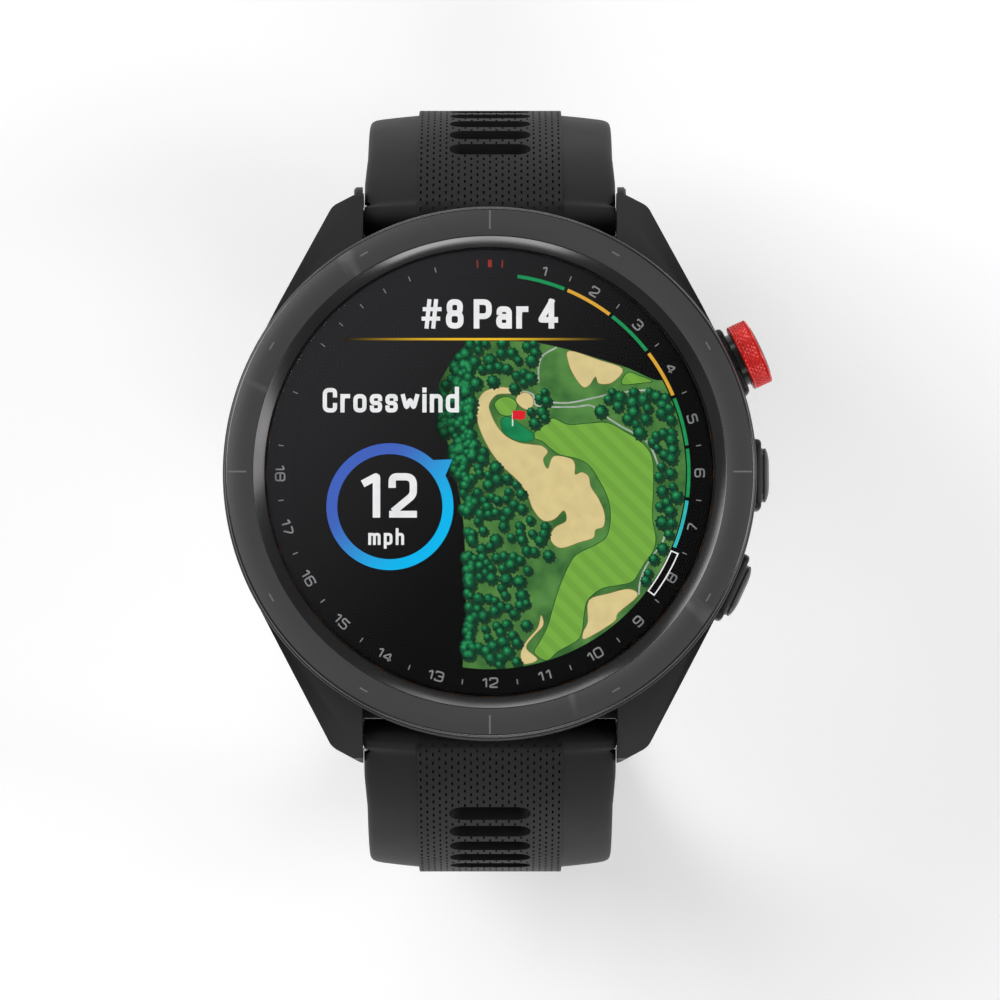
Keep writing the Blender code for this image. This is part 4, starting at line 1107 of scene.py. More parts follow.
def make_map():
    """A plan of one golf hole: woods, mown fairway, sand, cart paths, the green and its flag."""
    base = SCREEN_TOP + 0.01
    step = 0.005
    c = colours()
    outline = map_outline()
    bm = bmesh.new()
    area(bm, outline, base, 0)
    edged = [(FAIRWAY, 1), (SIDE_LAWN, 1), (FORE_GREEN, 1), (GREEN, 2)]
    sands = [LONG_BUNKER, TOP_BUNKER, LOW_BUNKER, TEE_BUNKER, SMALL_BUNKER]
    for path in PATHS:
        ribbon(bm, smooth_loop(path, 5, False), 0.15, base + 2 * step, False, 4)
    for loop in sands:
        smooth = smooth_loop(loop)
        area(bm, smooth, base + 3 * step, 3)
        ribbon(bm, smooth, 0.05, base + 4 * step, True, 5)
    for loop, finish in edged:
        smooth = smooth_loop(loop)
        area(bm, smooth, base + 5 * step, finish)
        ribbon(bm, smooth, 0.075, base + 6 * step, True, 6)
    ribbon(bm, [(2.0, 4.15), (2.0, 5.3)], 0.12, base + 8 * step, False, 8)
    flag = [
        (2.0, 5.55), (2.45, 5.48), (2.75, 5.55), (3.15, 5.42), (3.1, 4.8), (2.7, 4.7), (2.4, 4.78),
        (2.0, 4.72),
    ]
    area(bm, flag, base + 9 * step, 7)
    ground = lit("rough_grass", linear(52, 100, 48), linear(86, 138, 68), mottled(420.0, 5.0), fade=True)
    fairway = lit("mown_grass", c.fairway, [v * 0.87 for v in c.fairway], mown_stripes(0.5))
    green = lit("putting_green", linear(14, 116, 70), linear(24, 138, 84), mottled(900.0, 4.0))
    sand = lit("bunker_sand", c.sand, [v * 0.9 for v in c.sand], mottled(900.0, 5.0))
    path = lit("cart_path", linear(150, 165, 150), linear(178, 186, 176), mottled(1500.0))
    brown = lit("sand_lip", linear(120, 104, 60), linear(140, 122, 72), mottled(1500.0))
    rim = lit("fairway_line", linear(30, 76, 34), linear(44, 96, 44), mottled(1500.0))
    red = lit("flag_red", linear(214, 26, 40), linear(234, 42, 56), mottled(1200.0))
    pole = lit("flag_pole", linear(205, 225, 200), linear(230, 240, 225), mottled(1200.0))
    materials = [ground, fairway, green, sand, path, brown, rim, red, pole]
    piece(new_object("hole_map", bm), "case", materials)
    make_trees(outline, base + 7 * step)


def make_trees(outline, z):
    chance = random.Random(18)
    shaped = (FAIRWAY, LONG_BUNKER, TOP_BUNKER, LOW_BUNKER, GREEN, FORE_GREEN)
    open_ground = [smooth_loop(loop, 2) for loop in shaped]
    open_ground += [TEE_BUNKER, SMALL_BUNKER, SIDE_LAWN]
    bm = bmesh.new()
    places = tree_places(chance, outline, open_ground)
    for x, y, size in places:
        area(bm, tree_shape(chance, x + 0.12, y - 0.16, size * 1.08), z, 0)
    for number, (x, y, size) in enumerate(places):
        lift = z + 0.002 + 0.00002 * number
        area(bm, tree_shape(chance, x, y, size), lift, 1)
        area(bm, tree_shape(chance, x - 0.08, y + 0.12, size * 0.62, 7), lift + 0.008, 2)
        area(bm, tree_shape(chance, x - 0.1, y + 0.16, size * 0.3, 6), lift + 0.016, 3)
    shadow = lit("tree_shadow", linear(24, 48, 32), linear(36, 64, 36), mottled(1200.0, 4.0), fade=True)
    dark = lit("tree_dark", linear(5, 44, 30), linear(12, 70, 44), mottled(2200.0, 4.0), fade=True)
    leaf = lit("tree_leaf", linear(12, 82, 50), linear(24, 112, 66), mottled(2600.0, 4.0), fade=True)
    bright = lit("tree_bright", linear(28, 126, 74), linear(46, 154, 92), mottled(2600.0, 4.0), fade=True)
    piece(new_object("map_trees", bm), "case", [shadow, dark, leaf, bright])


# ---------------------------------------------------------------- the buttons


def knurled_ring(place):
    """The red ring: a diamond knurl between two smooth rims."""
    count = sizes().knurl_count
    depth = sizes().knurl_depth / MM
    steps, rows = count * 6, 18
    low, high, outer = 24.63, 26.07, 3.0
    diamonds_across, run_out = 3.0, 0.08
    bm = bmesh.new()
    profile = [(2.55, 24.45), (2.86, 24.45), (2.97, 24.52), (2.99, 24.58)]
    knurl = [(None, low + (high - low) * k / rows) for k in range(rows + 1)]
    profile += knurl + [(2.99, 26.12), (2.97, 26.18), (2.86, 26.25), (2.55, 26.25)]
    rings = []
    for radius, height in profile:
        ring = []
        for i in range(steps):
            a = 2 * math.pi * i / steps
            r = radius
            if r is None:
                u = count * a / (2 * math.pi)
                v = (height - low) / (high - low) * diamonds_across
                rise = min(abs((u + v) % 1 - 0.5), abs((u - v) % 1 - 0.5)) * 2
                edge = min(1.0, (height - low) / run_out, (high - height) / run_out)
                r = outer - depth * (1 - rise) * max(0.0, edge)
            ring.append(bm.verts.new((r * math.cos(a), r * math.sin(a), height)))
        rings.append(ring)
    for lower, upper in zip(rings, rings[1:] + rings[:1]):
        for i in range(steps):
            j = (i + 1) % steps
            bm.faces.new((lower[i], lower[j], upper[j], upper[i]))
    bm.transform(place)
    return new_object("knurled_ring", bm)


def make_action_button():
    place = along_radius(BUTTON_ANGLES["action"])
    c = colours()
    red = surface("anodised_red", c.ring, 0.34, 0.3, 0.1, 0.72, 5000.0, 0.002, 500.0, edge_highlight=0.35, coat=0.25)
    piece(knurled_ring(place), "action_button", [red], ("action_ring",), 25.0)
    gloss = surface("gloss_black", linear(14, 14, 15), 0.2, 0.1, 0.08, 1.4, 6000.0, 0.001, 500.0)
    dome = [
        (0, 26.0), (2.4, 26.0), (2.4, 26.26), (2.36, 26.33), (2.2, 26.375), (1.8, 26.43),
        (1.3, 26.475), (0.7, 26.508), (0, 26.52),
    ]
    piece(turned("action_dome", dome, 96, place), "action_button", [gloss], ("action_cap",))
    neck = [
        (0, 23.14), (2.2, 23.14), (2.4, 23.25), (2.4, 23.7), (2.28, 23.78), (2.28, 23.9), (2.4, 23.98),
        (2.4, 25.85), (0, 25.85),
    ]
    dark = surface("dark_collar", linear(46, 48, 46), 0.24, 0.8, 0.1, 1.2, 7000.0, 0.001, 400.0, edge_highlight=0.3)
    piece(turned("action_collar", neck, 96, place), "action_button", [dark], ("action_neck",))


def pusher_metal():
    return surface("pusher_metal", colours().pusher, 0.28, 0.85, 0.1, 0.8, 7000.0, 0.001, 400.0, edge_highlight=0.4)


def make_flat_pusher(name):
    """A flat pusher: a metal wall, a fine bright bevel and a gently domed black face."""
    place = along_radius(BUTTON_ANGLES[name])
    levels = [(0.0, 23.1), (0.0, 24.08), (0.05, 24.14), (0.05, 24.2), (0.0, 24.26), (0.02, 24.36)]
    levels += [(0.14, 24.44), (0.4, 24.54), (0.8, 24.63), (1.2, 24.68), (1.5, 24.7)]
    loops = []
    for inset, height in levels:
        outline = rounded(rectangle(1.6 - inset, 2.4 - inset), max(0.05, 1.3 - inset), 9)
        loops.append([(x, y, height) for x, y in outline])
    bm = bmesh.new()
    lofted_into(bm, loops, [0, 1, 1, 1, 0, 1, 1, 1, 1, 1, 1])
    bm.transform(place)
    black = surface("pusher_black", linear(30, 30, 31), 0.32, 0.4, 0.1, 1.3, 7000.0, 0.001, 400.0, edge_highlight=0.4)
    cap = new_object(f"{name}_pusher", bm)
    piece(cap, f"{name}_button", [pusher_metal(), black], (f"{name}_cap",), 30.0)


# ---------------------------------------------------------------- the strap


LOOP_RADIUS, LOOP_Z, LEAVE = 35.0, 35.7, 45.5
BAND_HALF = 6.45
CELLS_ACROSS = 23
CELL_ACROSS = 2 * BAND_HALF / CELLS_ACROSS
SLOT_PITCH = 3.25
CELL_ALONG = SLOT_PITCH / 6
FIRST_SLOT = 7.94
SLOT_CELLS = 4
SLOT_COLUMNS = (5, 18)
VENT_SLOTS, FIRST_ADJUSTING = 5, 16
SHORT_ARCS = ((LOOP_RADIUS, LEAVE, 95.0), (20.0, 95.0, 169.5))
LONG_STRAP, TIP_LENGTH = 118.0, 9.0
STRAP_HALF, NARROWS_FROM, NARROWS_OVER = 11.0, 25.0, 6.0
# The end that wraps the pin: it starts at END_START and grows to END_REACH, both from the pin.
END_RADIUS, END_START, END_REACH = 2.1, 1.85, 2.16
END_FLARE, END_FADE = 0.2, 2.4
END_ROWS = 12


def long_arcs():
    """The long half's arcs: the last one rounds off just above the table."""
    first, second, wide = 92.0, 100.5, 120.0
    height = LOOP_Z + LOOP_RADIUS * math.cos(math.radians(first))
    height += wide * (math.cos(math.radians(second)) - math.cos(math.radians(first)))
    radius = height / (1 + math.cos(math.radians(second)))
    return ((LOOP_RADIUS, LEAVE, first), (wide, first, second), (radius, second, 180.0))


def strap_path(arcs):
    """A function that gives (y, z, angle) along the arcs, and their whole length."""
    y = LOOP_RADIUS * math.sin(math.radians(LEAVE))
    z = LOOP_Z + LOOP_RADIUS * math.cos(math.radians(LEAVE))
    parts, at = [], 0.0
    for radius, start, end in arcs:
        parts.append((at, radius, math.radians(start), y, z))
        y += radius * (math.sin(math.radians(end)) - math.sin(math.radians(start)))
        z += radius * (math.cos(math.radians(end)) - math.cos(math.radians(start)))
        at += radius * math.radians(end - start)
    last = (at, math.radians(arcs[-1][2]), y, z)

    def place(s):
        if s < 0:
            a = math.radians(LEAVE) + s / END_RADIUS
            radius = END_START + (END_REACH - END_START) * min(1.0, -s) - 0.35 * max(0.0, -s - 5.2) / 1.3
            return PIN_Y + radius * math.sin(a), PIN_Z + radius * math.cos(a), a
        if s >= last[0]:
            a = last[1]
            return last[2] + (s - last[0]) * math.cos(a), last[3] - (s - last[0]) * math.sin(a), a
        start_at, radius, a0, y0, z0 = [p for p in parts if p[0] <= s][-1]
        a = a0 + (s - start_at) / radius
        return y0 + radius * (math.sin(a) - math.sin(a0)), z0 + radius * (math.cos(a) - math.cos(a0)), a

    return place, at


def ease(t):
    """Goes from 0 to 1 with t, gently at both ends."""
    t = min(1.0, max(0.0, t))
    return t * t * (3 - 2 * t)


def strap_half(s):
    """Half the strap's width: full at the lugs, narrower towards the buckle."""
    return STRAP_HALF - ease((s - NARROWS_FROM) / NARROWS_OVER)


def strap_thickness(s):
    return 2.6 + 1.0 * max(0.0, 1 - s / 9.0) ** 1.5


# (half width, depth below the band) of one side's soft shoulder, from its lower edge to the band.
SIDE = [
    (STRAP_HALF, 1.5), (10.93, 1.24), (10.75, 1.03), (10.45, 0.9), (9.9, 0.8), (9.0, 0.69),
    (7.8, 0.56), (6.6, 0.45), (6.51, 0.42), (BAND_HALF + 0.03, 0.06), (BAND_HALF, 0.0),
]


def make_strap(name, arcs, side, total, slot_numbers, tip):
    """One strap half: soft shoulders, a raised band with staggered slits, and its slots.

    Rows of points run across it, one every CELL_ALONG. A slit fills every second cell of the band, and a
    slot takes four rows of cells out of it.
    """
    place, _ = strap_path(arcs)
    wide, long, deep = (v / MM for v in (sizes().slit_width, sizes().slit_length, sizes().slit_depth))
    first_row = FIRST_SLOT - SLOT_CELLS / 2 * CELL_ALONG
    before = int(first_row / CELL_ALONG)
    start = first_row - before * CELL_ALONG
    stations = [start - CELL_ALONG * k for k in range(END_ROWS, 0, -1)]
    s = start
    while s < total - 0.3:
        stations.append(s)
        s += CELL_ALONG
    if tip:
        stations += [total - TIP_LENGTH * t for t in (0.03, 0.012, 0.003)]
        stations = sorted(set(round(v, 5) for v in stations))
    stations.append(total)
    open_rows, slot_ends = {}, {}
    for k in slot_numbers:
        centre = FIRST_SLOT + SLOT_PITCH * k
        for i, value in enumerate(stations[:-1]):
            if centre - 1.1 < value + 0.01 < centre + 1.05:
                open_rows[i] = centre
    bm = bmesh.new()

    def at(s, x, depth):
        y, z, a = place(s)
        share = 1.0
        if tip and s > total - TIP_LENGTH:
            t = min(1.0, (s - total + TIP_LENGTH) / TIP_LENGTH)
            share = 0.45 + 0.55 * math.sqrt(max(0.0, 1 - t * t))
        shoulder = max(0.0, abs(x) - BAND_HALF - 0.15) / (10.85 - BAND_HALF)
        inset = STRAP_HALF - strap_half(s) - END_FLARE * min(1.0, max(0.0, (9.0 - s) / 5.0))
        x -= math.copysign(1.0, x) * inset * shoulder
        if s < 0:
            depth *= 1 - ease(-s / END_FADE)
        return bm.verts.new((x * share, side * (y - depth * math.sin(a)), z - depth * math.cos(a)))

    columns = [-BAND_HALF + CELL_ACROSS * i for i in range(CELLS_ACROSS + 1)]
    left, right = SLOT_COLUMNS
    outer_rows, inner_rows = [], []
    for s in stations:
        thick = strap_thickness(max(0.0, s))
        edge = [at(s, -x, d) for x, d in SIDE[:-1]]
        band = [at(s, x, 0.0) for x in columns]
        other = [at(s, x, d) for x, d in SIDE[-2::-1]]
        outer_rows.append(edge + band + other)
        if s < 0:
            inner_rows.append(None)
            continue
        low = [(STRAP_HALF, thick - 0.62), (10.9, thick - 0.3), (10.65, thick - 0.08), (10.3, thick)]
        low.append((-columns[left], thick))
        row = [at(s, x, d) for x, d in low] + [at(s, -x, d) for x, d in low[::-1]]
        inner_rows.append(row)
    lead = len(SIDE) - 1
    inner_open = 4

    def slot_edge(s, centre, sign, depth):
        """The rounded end of a slot at this station."""
        r = SLOT_CELLS / 2 * CELL_ALONG
        flat = -columns[left] - r
        x = flat + math.sqrt(max(0.0, r * r - (s - centre) ** 2))
        return at(s, sign * x, depth)

    arc_steps = 3
    last_slit = total - (TIP_LENGTH + 1.5 if tip else 2.0)
    for i in range(len(stations) - 1):
        s0, s1 = stations[i], stations[i + 1]
        near, far = outer_rows[i], outer_rows[i + 1]
        is_open = i in open_rows
        textured = s1 - s0 > 0.9 * CELL_ALONG and -4.0 < s0 and s1 < last_slit
        for k in range(len(near) - 1):
            cell = k - lead
            if is_open and left <= cell < right:
                continue
            corners = (near[k], near[k + 1], far[k + 1], far[k])
            if textured and 0 <= cell < CELLS_ACROSS and (cell + i) % 2 == 0:
                middle_x = columns[cell] + CELL_ACROSS / 2
                mid = (s0 + s1) / 2
                top = [at(mid + v * long / 2, middle_x + u * wide / 2, 0.0) for u, v in CORNERS]
                floor = [at(mid + v * long * 0.42, middle_x + u * wide * 0.36, deep) for u, v in CORNERS]
                for n in range(4):
                    m = (n + 1) % 4
                    bm.faces.new((corners[n], corners[m], top[m], top[n]))
                    bm.faces.new((top[n], top[m], floor[m], floor[n]))
                bm.faces.new(floor)
            else:
                bm.faces.new(corners)
        low0, low1 = inner_rows[i], inner_rows[i + 1]
        if low0 is None:
            continue
        for k in range(len(low0) - 1):
            if is_open and k == inner_open:
                continue
            bm.faces.new((low0[k], low0[k + 1], low1[k + 1], low1[k]))
        bm.faces.new((near[-1], low0[0], low1[0], far[-1]))
        bm.faces.new((low0[-1], near[0], far[0], low1[-1]))
        if is_open:
            centre = open_rows[i]
            for sign, column, inner in ((-1, lead + left, inner_open + 1), (1, lead + right, inner_open)):
                spans = [s0 + (s1 - s0) * k / arc_steps for k in range(arc_steps + 1)]
                lips = [slot_edge(v, centre, sign, 0.0) for v in spans]
                feet = [slot_edge(v, centre, sign, strap_thickness(v)) for v in spans]
                bm.faces.new([near[column], far[column], *lips[::-1]])
                bm.faces.new([low0[inner], low1[inner], *feet[::-1]])
                for a, b, c, d in zip(lips, lips[1:], feet[1:], feet):
                    bm.faces.new((a, b, c, d))
                if i - 1 not in open_rows or open_rows[i - 1] != centre:
                    slot_ends.setdefault((i, "near"), []).append((lips[0], feet[0]))
                if i + 1 not in open_rows or open_rows[i + 1] != centre:
                    slot_ends.setdefault((i + 1, "far"), []).append((lips[-1], feet[-1]))
    for (row, _), pair in slot_ends.items():
        (lip_a, foot_a), (lip_b, foot_b) = pair
        bm.faces.new((lip_a, lip_b, foot_b, foot_a))
        across = outer_rows[row][lead + left : lead + right + 1]
        bm.faces.new([lip_a, *across, lip_b])
        bm.faces.new([foot_a, inner_rows[row][inner_open + 1], inner_rows[row][inner_open], foot_b])
    first = inner_rows[END_ROWS]
    bm.faces.new(outer_rows[0] + first)
    bm.faces.new([row[0] for row in outer_rows[: END_ROWS + 1]] + [first[-1]])
    bm.faces.new([row[-1] for row in outer_rows[: END_ROWS + 1]] + [first[0]])
    bm.faces.new(outer_rows[-1] + inner_rows[-1])
    bmesh.ops.remove_doubles(bm, verts=bm.verts, dist=2e-4)
    return new_object(name, bm)


def on_strap(origin, along, out):
    """A place on the strap: Y runs along it and Z points out of it."""
    matrix = Matrix.Identity(4)
    matrix.col[1][:3] = along
    matrix.col[2][:3] = out
    matrix.col[3][:3] = origin
    return matrix


def pin_frame(side):
    a = math.radians(LEAVE)
    along, out = (0, side * math.cos(a), -math.sin(a)), (0, side * math.sin(a), math.cos(a))
    return on_strap((0, side * PIN_Y, PIN_Z), along, out)


def bored(strap, side):
    """The pin's tunnel and the opening for the latch's knob on the wrist side."""
    tunnel = [(0, -13), (1.0, -13), (1.0, 13), (0, 13)]
    cut(strap, turned("tunnel", tunnel, 32, along_x(side * PIN_Y, PIN_Z)))
    opening = rounded(rectangle(1.8, 0.75, 9.6, 0.0), 0.5, 4)
    return cut(strap, prism("latch_slot", opening, -3.2, 0.0, pin_frame(side)))


def buckle_place():
    """Where the buckle's pin crosses the short half's fold."""
    place, total = strap_path(SHORT_ARCS)
    y, z, a = place(total)
    out = Vector((0, math.sin(a), math.cos(a)))
    along = Vector((0, math.cos(a), -math.sin(a)))
    return on_strap(Vector((0, y, z)) - out * 1.3 + along * 1.2, along, out)


def make_long_strap():
    last = int((LONG_STRAP - TIP_LENGTH - FIRST_SLOT) / SLOT_PITCH)
    numbers = [*range(VENT_SLOTS), *range(FIRST_ADJUSTING, last)]
    strap = make_strap("long_strap", long_arcs(), -1, LONG_STRAP, numbers, True)
    piece(bored(strap, -1), "strap_6", [silicone()], ("strap_6",), 32.0)


def make_short_strap():
    _, total = strap_path(SHORT_ARCS)
    strap = make_strap("short_strap", SHORT_ARCS, 1, total, range(VENT_SLOTS), False)
    bored(strap, 1)
    place = buckle_place()
    across = place @ Matrix.Rotation(math.radians(90), 4, "Y")
    fold = [(0, -10.0), (1.3, -10.0), (1.45, -9.85), (1.45, 9.85), (1.3, 10.0), (0, 10.0)]
    joined(strap, turned("fold", fold, 48, across))
    cut(strap, prism("notch", rectangle(3.8, 4.0, 0, 1.8), -5, 5, place))
    tunnel = [(0, -13), (0.9, -13), (0.9, 13), (0, 13)]
    cut(strap, turned("tunnel", tunnel, 28, across))
    piece(strap, "strap_12", [silicone()], ("strap_12",), 32.0)


# ---------------------------------------------------------------- the back and the carried-over pieces


def make_back():
    cover = [
        (7.75, 0.6), (20.9, 0.6), (21.3, 0.66), (21.6, 0.84), (21.7, 1.1), (21.7, 1.7), (18.1, 1.7),
        (18.1, 2.3), (7.75, 2.3),
    ]
    back = turned("back_shell", [(r, z + LIFT) for r, z in cover], 160)
    for radius in (9.3, 17.4):
        line = [(radius, 0.4), (radius + 0.25, 0.4), (radius + 0.25, 0.72), (radius, 0.72)]
        cut(back, turned("line", [(r, z + LIFT) for r, z in line], 160))
    socket = rounded(rectangle(4.65, 1.95, 0, -14.6), 1.0)
    cut(back, prism("socket_hole", socket, LIFT - 0.5, LIFT + 3.5))
    for _, x, y in screw_places():
        hole = [(0, 0), (1.1, 0), (1.1, 1.15), (0.55, 1.15), (0.55, 3.0), (0, 3.0)]
        cut(back, turned("screw_hole", [(r, z + LIFT) for r, z in hole], 28, Matrix.Translation((x, y, 0))))
    finish = surface("back_polymer", linear(34, 34, 35), 0.46, 0.0, 0.08, 1.2, 5200.0, 0.005, 130.0, edge_highlight=0.3)
    piece(back, "case", [finish], ("back_cover",))
    window = [
        (0, 0), (4.8, 0.0), (5.6, 0.03), (6.3, 0.12), (6.9, 0.3), (7.35, 0.5), (7.6, 0.75), (7.6, 2.1),
        (0, 2.1),
    ]
    dark = surface("sensor_glass", linear(12, 12, 14), 0.08, 0.0, 0.05, 1.3, 3000.0, 0.0005, 300.0)
    sensor = turned("sensor_lens", [(r, z + LIFT) for r, z in window], 128)
    piece(sensor, "case", [dark], ("sensor_window",))
    for number, x, y in screw_places():
        make_back_screw(number, x, y)


def make_back_screw(number, x, y):
    """A pan-head screw with a six-lobed socket."""
    profile = [
        (0, 0.68), (0.8, 0.65), (0.9, 0.7), (0.95, 0.8), (0.95, 1.05), (0.42, 1.1), (0.42, 3.1),
        (0, 3.1),
    ]
    place = Matrix.Translation((x, y, LIFT))
    screw = turned(f"cover_screw_{number}", profile, 40, place)
    lobes = [(0.4 + 0.09 * math.cos(6 * a), a) for a in (math.radians(6 * k) for k in range(60))]
    outline = [(r * math.cos(a), r * math.sin(a)) for r, a in lobes]
    cut(screw, prism("lobes", outline, 0.3, 0.95, place))
    piece(screw, "case", [steel()], (f"back_screw_{number}",))


def finish_inner_pieces():
    """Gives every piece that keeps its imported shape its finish, and softens the larger ones."""
    seal = surface("seal_rubber", linear(46, 46, 50), 0.7, 0.0, 0.1, 1.3, 5000.0, 0.004, 200.0)
    resin = surface("frame_resin", linear(92, 92, 96), 0.58, 0.0, 0.1, 1.2, 4000.0, 0.004, 200.0)
    copper = surface("antenna_copper", linear(214, 150, 96), 0.34, 1.0, 0.15, 0.8, 5000.0, 0.002, 300.0)
    board = surface("board_green", linear(32, 98, 62), 0.46, 0.0, 0.15, 0.7, 2500.0, 0.006, 500.0, coat=0.3)
    foil = surface("cell_foil", linear(186, 186, 190), 0.36, 0.8, 0.2, 0.85, 1500.0, 0.01, 200.0)
    gold = surface("contact_gold", linear(226, 186, 104), 0.24, 1.0, 0.12, 0.85, 9000.0, 0.001, 900.0)
    black = surface("socket_polymer", linear(30, 30, 31), 0.5, 0.0, 0.08, 1.2, 5200.0, 0.004, 200.0)
    by_slot = {"seal": seal, "frame_plastic": resin, "copper": copper, "board_green": board}
    by_slot |= {"cell_foil": foil, "gold_contact": gold, "cover_black": black}
    by_slot |= {"steel": steel(), "silicone": silicone()}
    by_slot |= {"buckle_steel": dark_metal(), "case_black": case_finish(), "pusher_metal": pusher_metal()}
    slots = {part["node"]: part["material_slot"] for part in frame["record"]["subparts"]}
    for name, node in frame["nodes"].items():
        made = by_slot.get(slots.get(name))
        if made:
            node.data.materials.clear()
            node.data.materials.append(made)
    for name in ("fixed_keeper", "free_keeper", "buckle_frame", "buckle_tongue"):
        round_edges(frame["nodes"][name], 0.34 if "keeper" in name else 0.4)


def round_edges(node, width):
    """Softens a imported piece's edges with a modifier, which leaves its mesh alone."""
    bevel = node.modifiers.new("soft_edges", "BEVEL")
    bevel.width = width * MM
    bevel.segments = 3
    bevel.limit_method = "ANGLE"
    bevel.angle_limit = math.radians(40)


# ---------------------------------------------------------------- the stage

CAMERA_DISTANCE = 0.65
VIEW_WIDTH = 0.08764
CAMERA_TILT = math.radians(2.9)
AIM = Vector((0.00089, -0.0025, TOP * MM))
LIGHT_TARGET = Vector((0, 0, 0.04))
FLOOR_GLOW, SKY_GLOW = 0.2, 0.24


def softbox(name, place, width, height, power):
    light = bpy.data.lights.new(name, "AREA")
    light.shape = "RECTANGLE"
    light.size, light.size_y = width, height
    light.energy = power
    obj = bpy.data.objects.new(name, light)
    obj.location = place
    obj.rotation_mode = "QUATERNION"
    obj.rotation_quaternion = (LIGHT_TARGET - Vector(place)).to_track_quat("-Z", "Y")
    bpy.context.scene.collection.objects.link(obj)


def make_stage():
    """The floor, the light and the camera."""
    bm = bmesh.new()
    bmesh.ops.create_grid(bm, x_segments=8, y_segments=8, size=3.0)
    floor = new_object("floor", bm)
    pale = surface("pale_floor", (0.88, 0.88, 0.88), 0.75, 0.0, 0.05, 1.02, 300.0, 0.02, 3.0)
    shader = pale.node_tree.nodes["Principled BSDF"]
    shader.inputs["Emission Color"].default_value = (1.0, 1.0, 1.0, 1.0)
    shader.inputs["Emission Strength"].default_value = FLOOR_GLOW
    floor.data.materials.append(pale)
    world = bpy.data.worlds.new("studio")
    bpy.context.scene.world = world
    world.use_nodes = True
    sky = world.node_tree.nodes["Background"]
    sky.inputs["Color"].default_value = (1.0, 1.0, 1.0, 1.0)
    sky.inputs["Strength"].default_value = SKY_GLOW
    softbox("left_softbox", (-1.15, 0.55, 1.25), 0.9, 1.2, 16.0)
    softbox("right_softbox", (1.35, -0.1, 0.9), 0.6, 1.4, 9.0)
    softbox("front_softbox", (0.1, -1.5, 1.0), 1.4, 0.5, 9.0)
    softbox("back_softbox", (-0.1, 1.5, 0.9), 1.4, 0.5, 7.0)
    bpy.context.scene.view_settings.view_transform = "Standard"
    camera = bpy.data.cameras.new("camera")
    camera.sensor_width = 36.0
    camera.lens = camera.sensor_width / VIEW_WIDTH * CAMERA_DISTANCE
    camera.clip_start, camera.clip_end = 0.05, 20.0
    obj = bpy.data.objects.new("camera", camera)
    back = Vector((0.0, -math.sin(CAMERA_TILT), math.cos(CAMERA_TILT)))
    obj.location = AIM + back * CAMERA_DISTANCE
    side = Vector((1.0, 0.0, 0.0))
    obj.rotation_mode = "QUATERNION"
    obj.rotation_quaternion = Matrix((side, back.cross(side), back)).transposed().to_quaternion()
    bpy.context.scene.collection.objects.link(obj)
    bpy.context.scene.camera = obj


# ---------------------------------------------------------------- the add-on


class WATCH_OT_case(bpy.types.Operator):
    """Builds the case with its lugs, bosses and button guards"""

    bl_idname = "watch.case"
    bl_label = "Case"

    def execute(self, context):
        make_case_shell()
        return {"FINISHED"}


class WATCH_OT_bezel(bpy.types.Operator):
    """Builds the bezel with its marks, and the glass"""

    bl_idname = "watch.bezel"
    bl_label = "Bezel and glass"

    def execute(self, context):
        make_bezel()
        make_glass()
        return {"FINISHED"}


class WATCH_OT_dial(bpy.types.Operator):
    """Builds the dial's ring of numbers, ticks and score arcs"""

    bl_idname = "watch.dial"
    bl_label = "Dial"

    def execute(self, context):
        make_dial()
        return {"FINISHED"}


class WATCH_OT_screen(bpy.types.Operator):
    """Builds the lit screen with its words, the wind ring and the hole's map"""

    bl_idname = "watch.screen"
    bl_label = "Screen"

    def execute(self, context):
        make_screen()
        make_map()
        return {"FINISHED"}


class WATCH_OT_buttons(bpy.types.Operator):
    """Builds the knurled action button and the two flat pushers"""

    bl_idname = "watch.buttons"
    bl_label = "Buttons"

    def execute(self, context):
        make_action_button()
        make_flat_pusher("menu")
        make_flat_pusher("back")
        return {"FINISHED"}


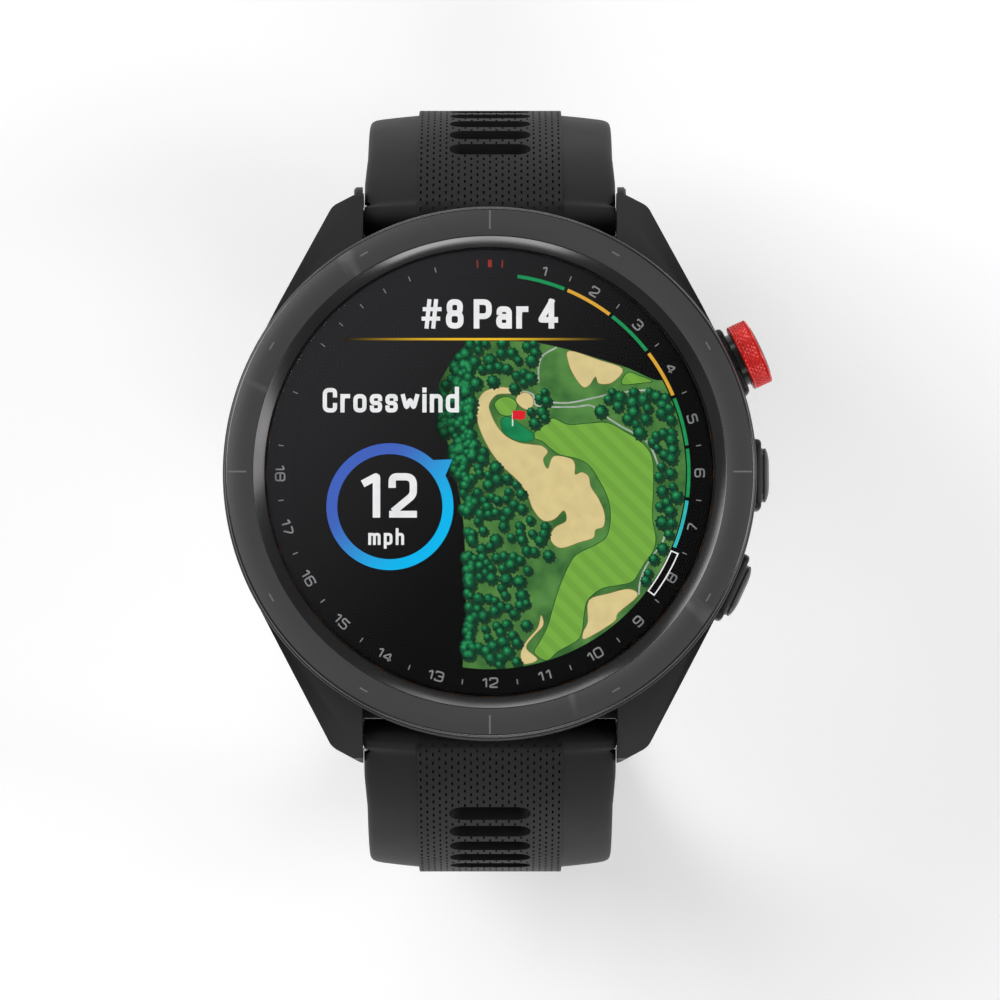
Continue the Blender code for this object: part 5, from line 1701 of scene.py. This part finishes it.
class WATCH_OT_strap(bpy.types.Operator):
    """Builds both strap halves"""

    bl_idname = "watch.strap"
    bl_label = "Strap"

    def execute(self, context):
        make_long_strap()
        make_short_strap()
        return {"FINISHED"}


class WATCH_OT_back(bpy.types.Operator):
    """Builds the back cover, the sensor's lens and the screws"""

    bl_idname = "watch.back"
    bl_label = "Back"

    def execute(self, context):
        make_back()
        return {"FINISHED"}


class WATCH_OT_finishes(bpy.types.Operator):
    """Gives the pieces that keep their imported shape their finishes"""

    bl_idname = "watch.finishes"
    bl_label = "Other finishes"

    def execute(self, context):
        finish_inner_pieces()
        return {"FINISHED"}


class WATCH_OT_stage(bpy.types.Operator):
    """Sets the floor, the light and the camera"""

    bl_idname = "watch.stage"
    bl_label = "Stage"

    def execute(self, context):
        make_stage()
        return {"FINISHED"}


OPERATORS = (
    WATCH_OT_stage,
    WATCH_OT_finishes,
    WATCH_OT_case,
    WATCH_OT_bezel,
    WATCH_OT_dial,
    WATCH_OT_screen,
    WATCH_OT_buttons,
    WATCH_OT_strap,
    WATCH_OT_back,
)


class WATCH_PT_panel(bpy.types.Panel):
    """The watch's sizes, colours and pieces"""

    bl_idname = "WATCH_PT_panel"
    bl_label = "Golf GPS Watch"
    bl_space_type = "VIEW_3D"
    bl_region_type = "UI"
    bl_category = "Watch"

    def draw(self, context):
        for group in (context.scene.watch_sizes, context.scene.watch_colours):
            for name in group.__annotations__:
                self.layout.prop(group, name)
        for operator in OPERATORS:
            self.layout.operator(operator.bl_idname)


CLASSES = (WatchSizes, WatchColours, *OPERATORS, WATCH_PT_panel)


def register():
    for cls in CLASSES:
        bpy.utils.register_class(cls)
    bpy.types.Scene.watch_sizes = bpy.props.PointerProperty(type=WatchSizes)
    bpy.types.Scene.watch_colours = bpy.props.PointerProperty(type=WatchColours)


def unregister():
    del bpy.types.Scene.watch_colours
    del bpy.types.Scene.watch_sizes
    for cls in reversed(CLASSES):
        bpy.utils.unregister_class(cls)


def main():
    register()
    for operator in OPERATORS:
        family, name = operator.bl_idname.split(".")
        getattr(getattr(bpy.ops, family), name)()


if __name__ == "__main__":
    main()
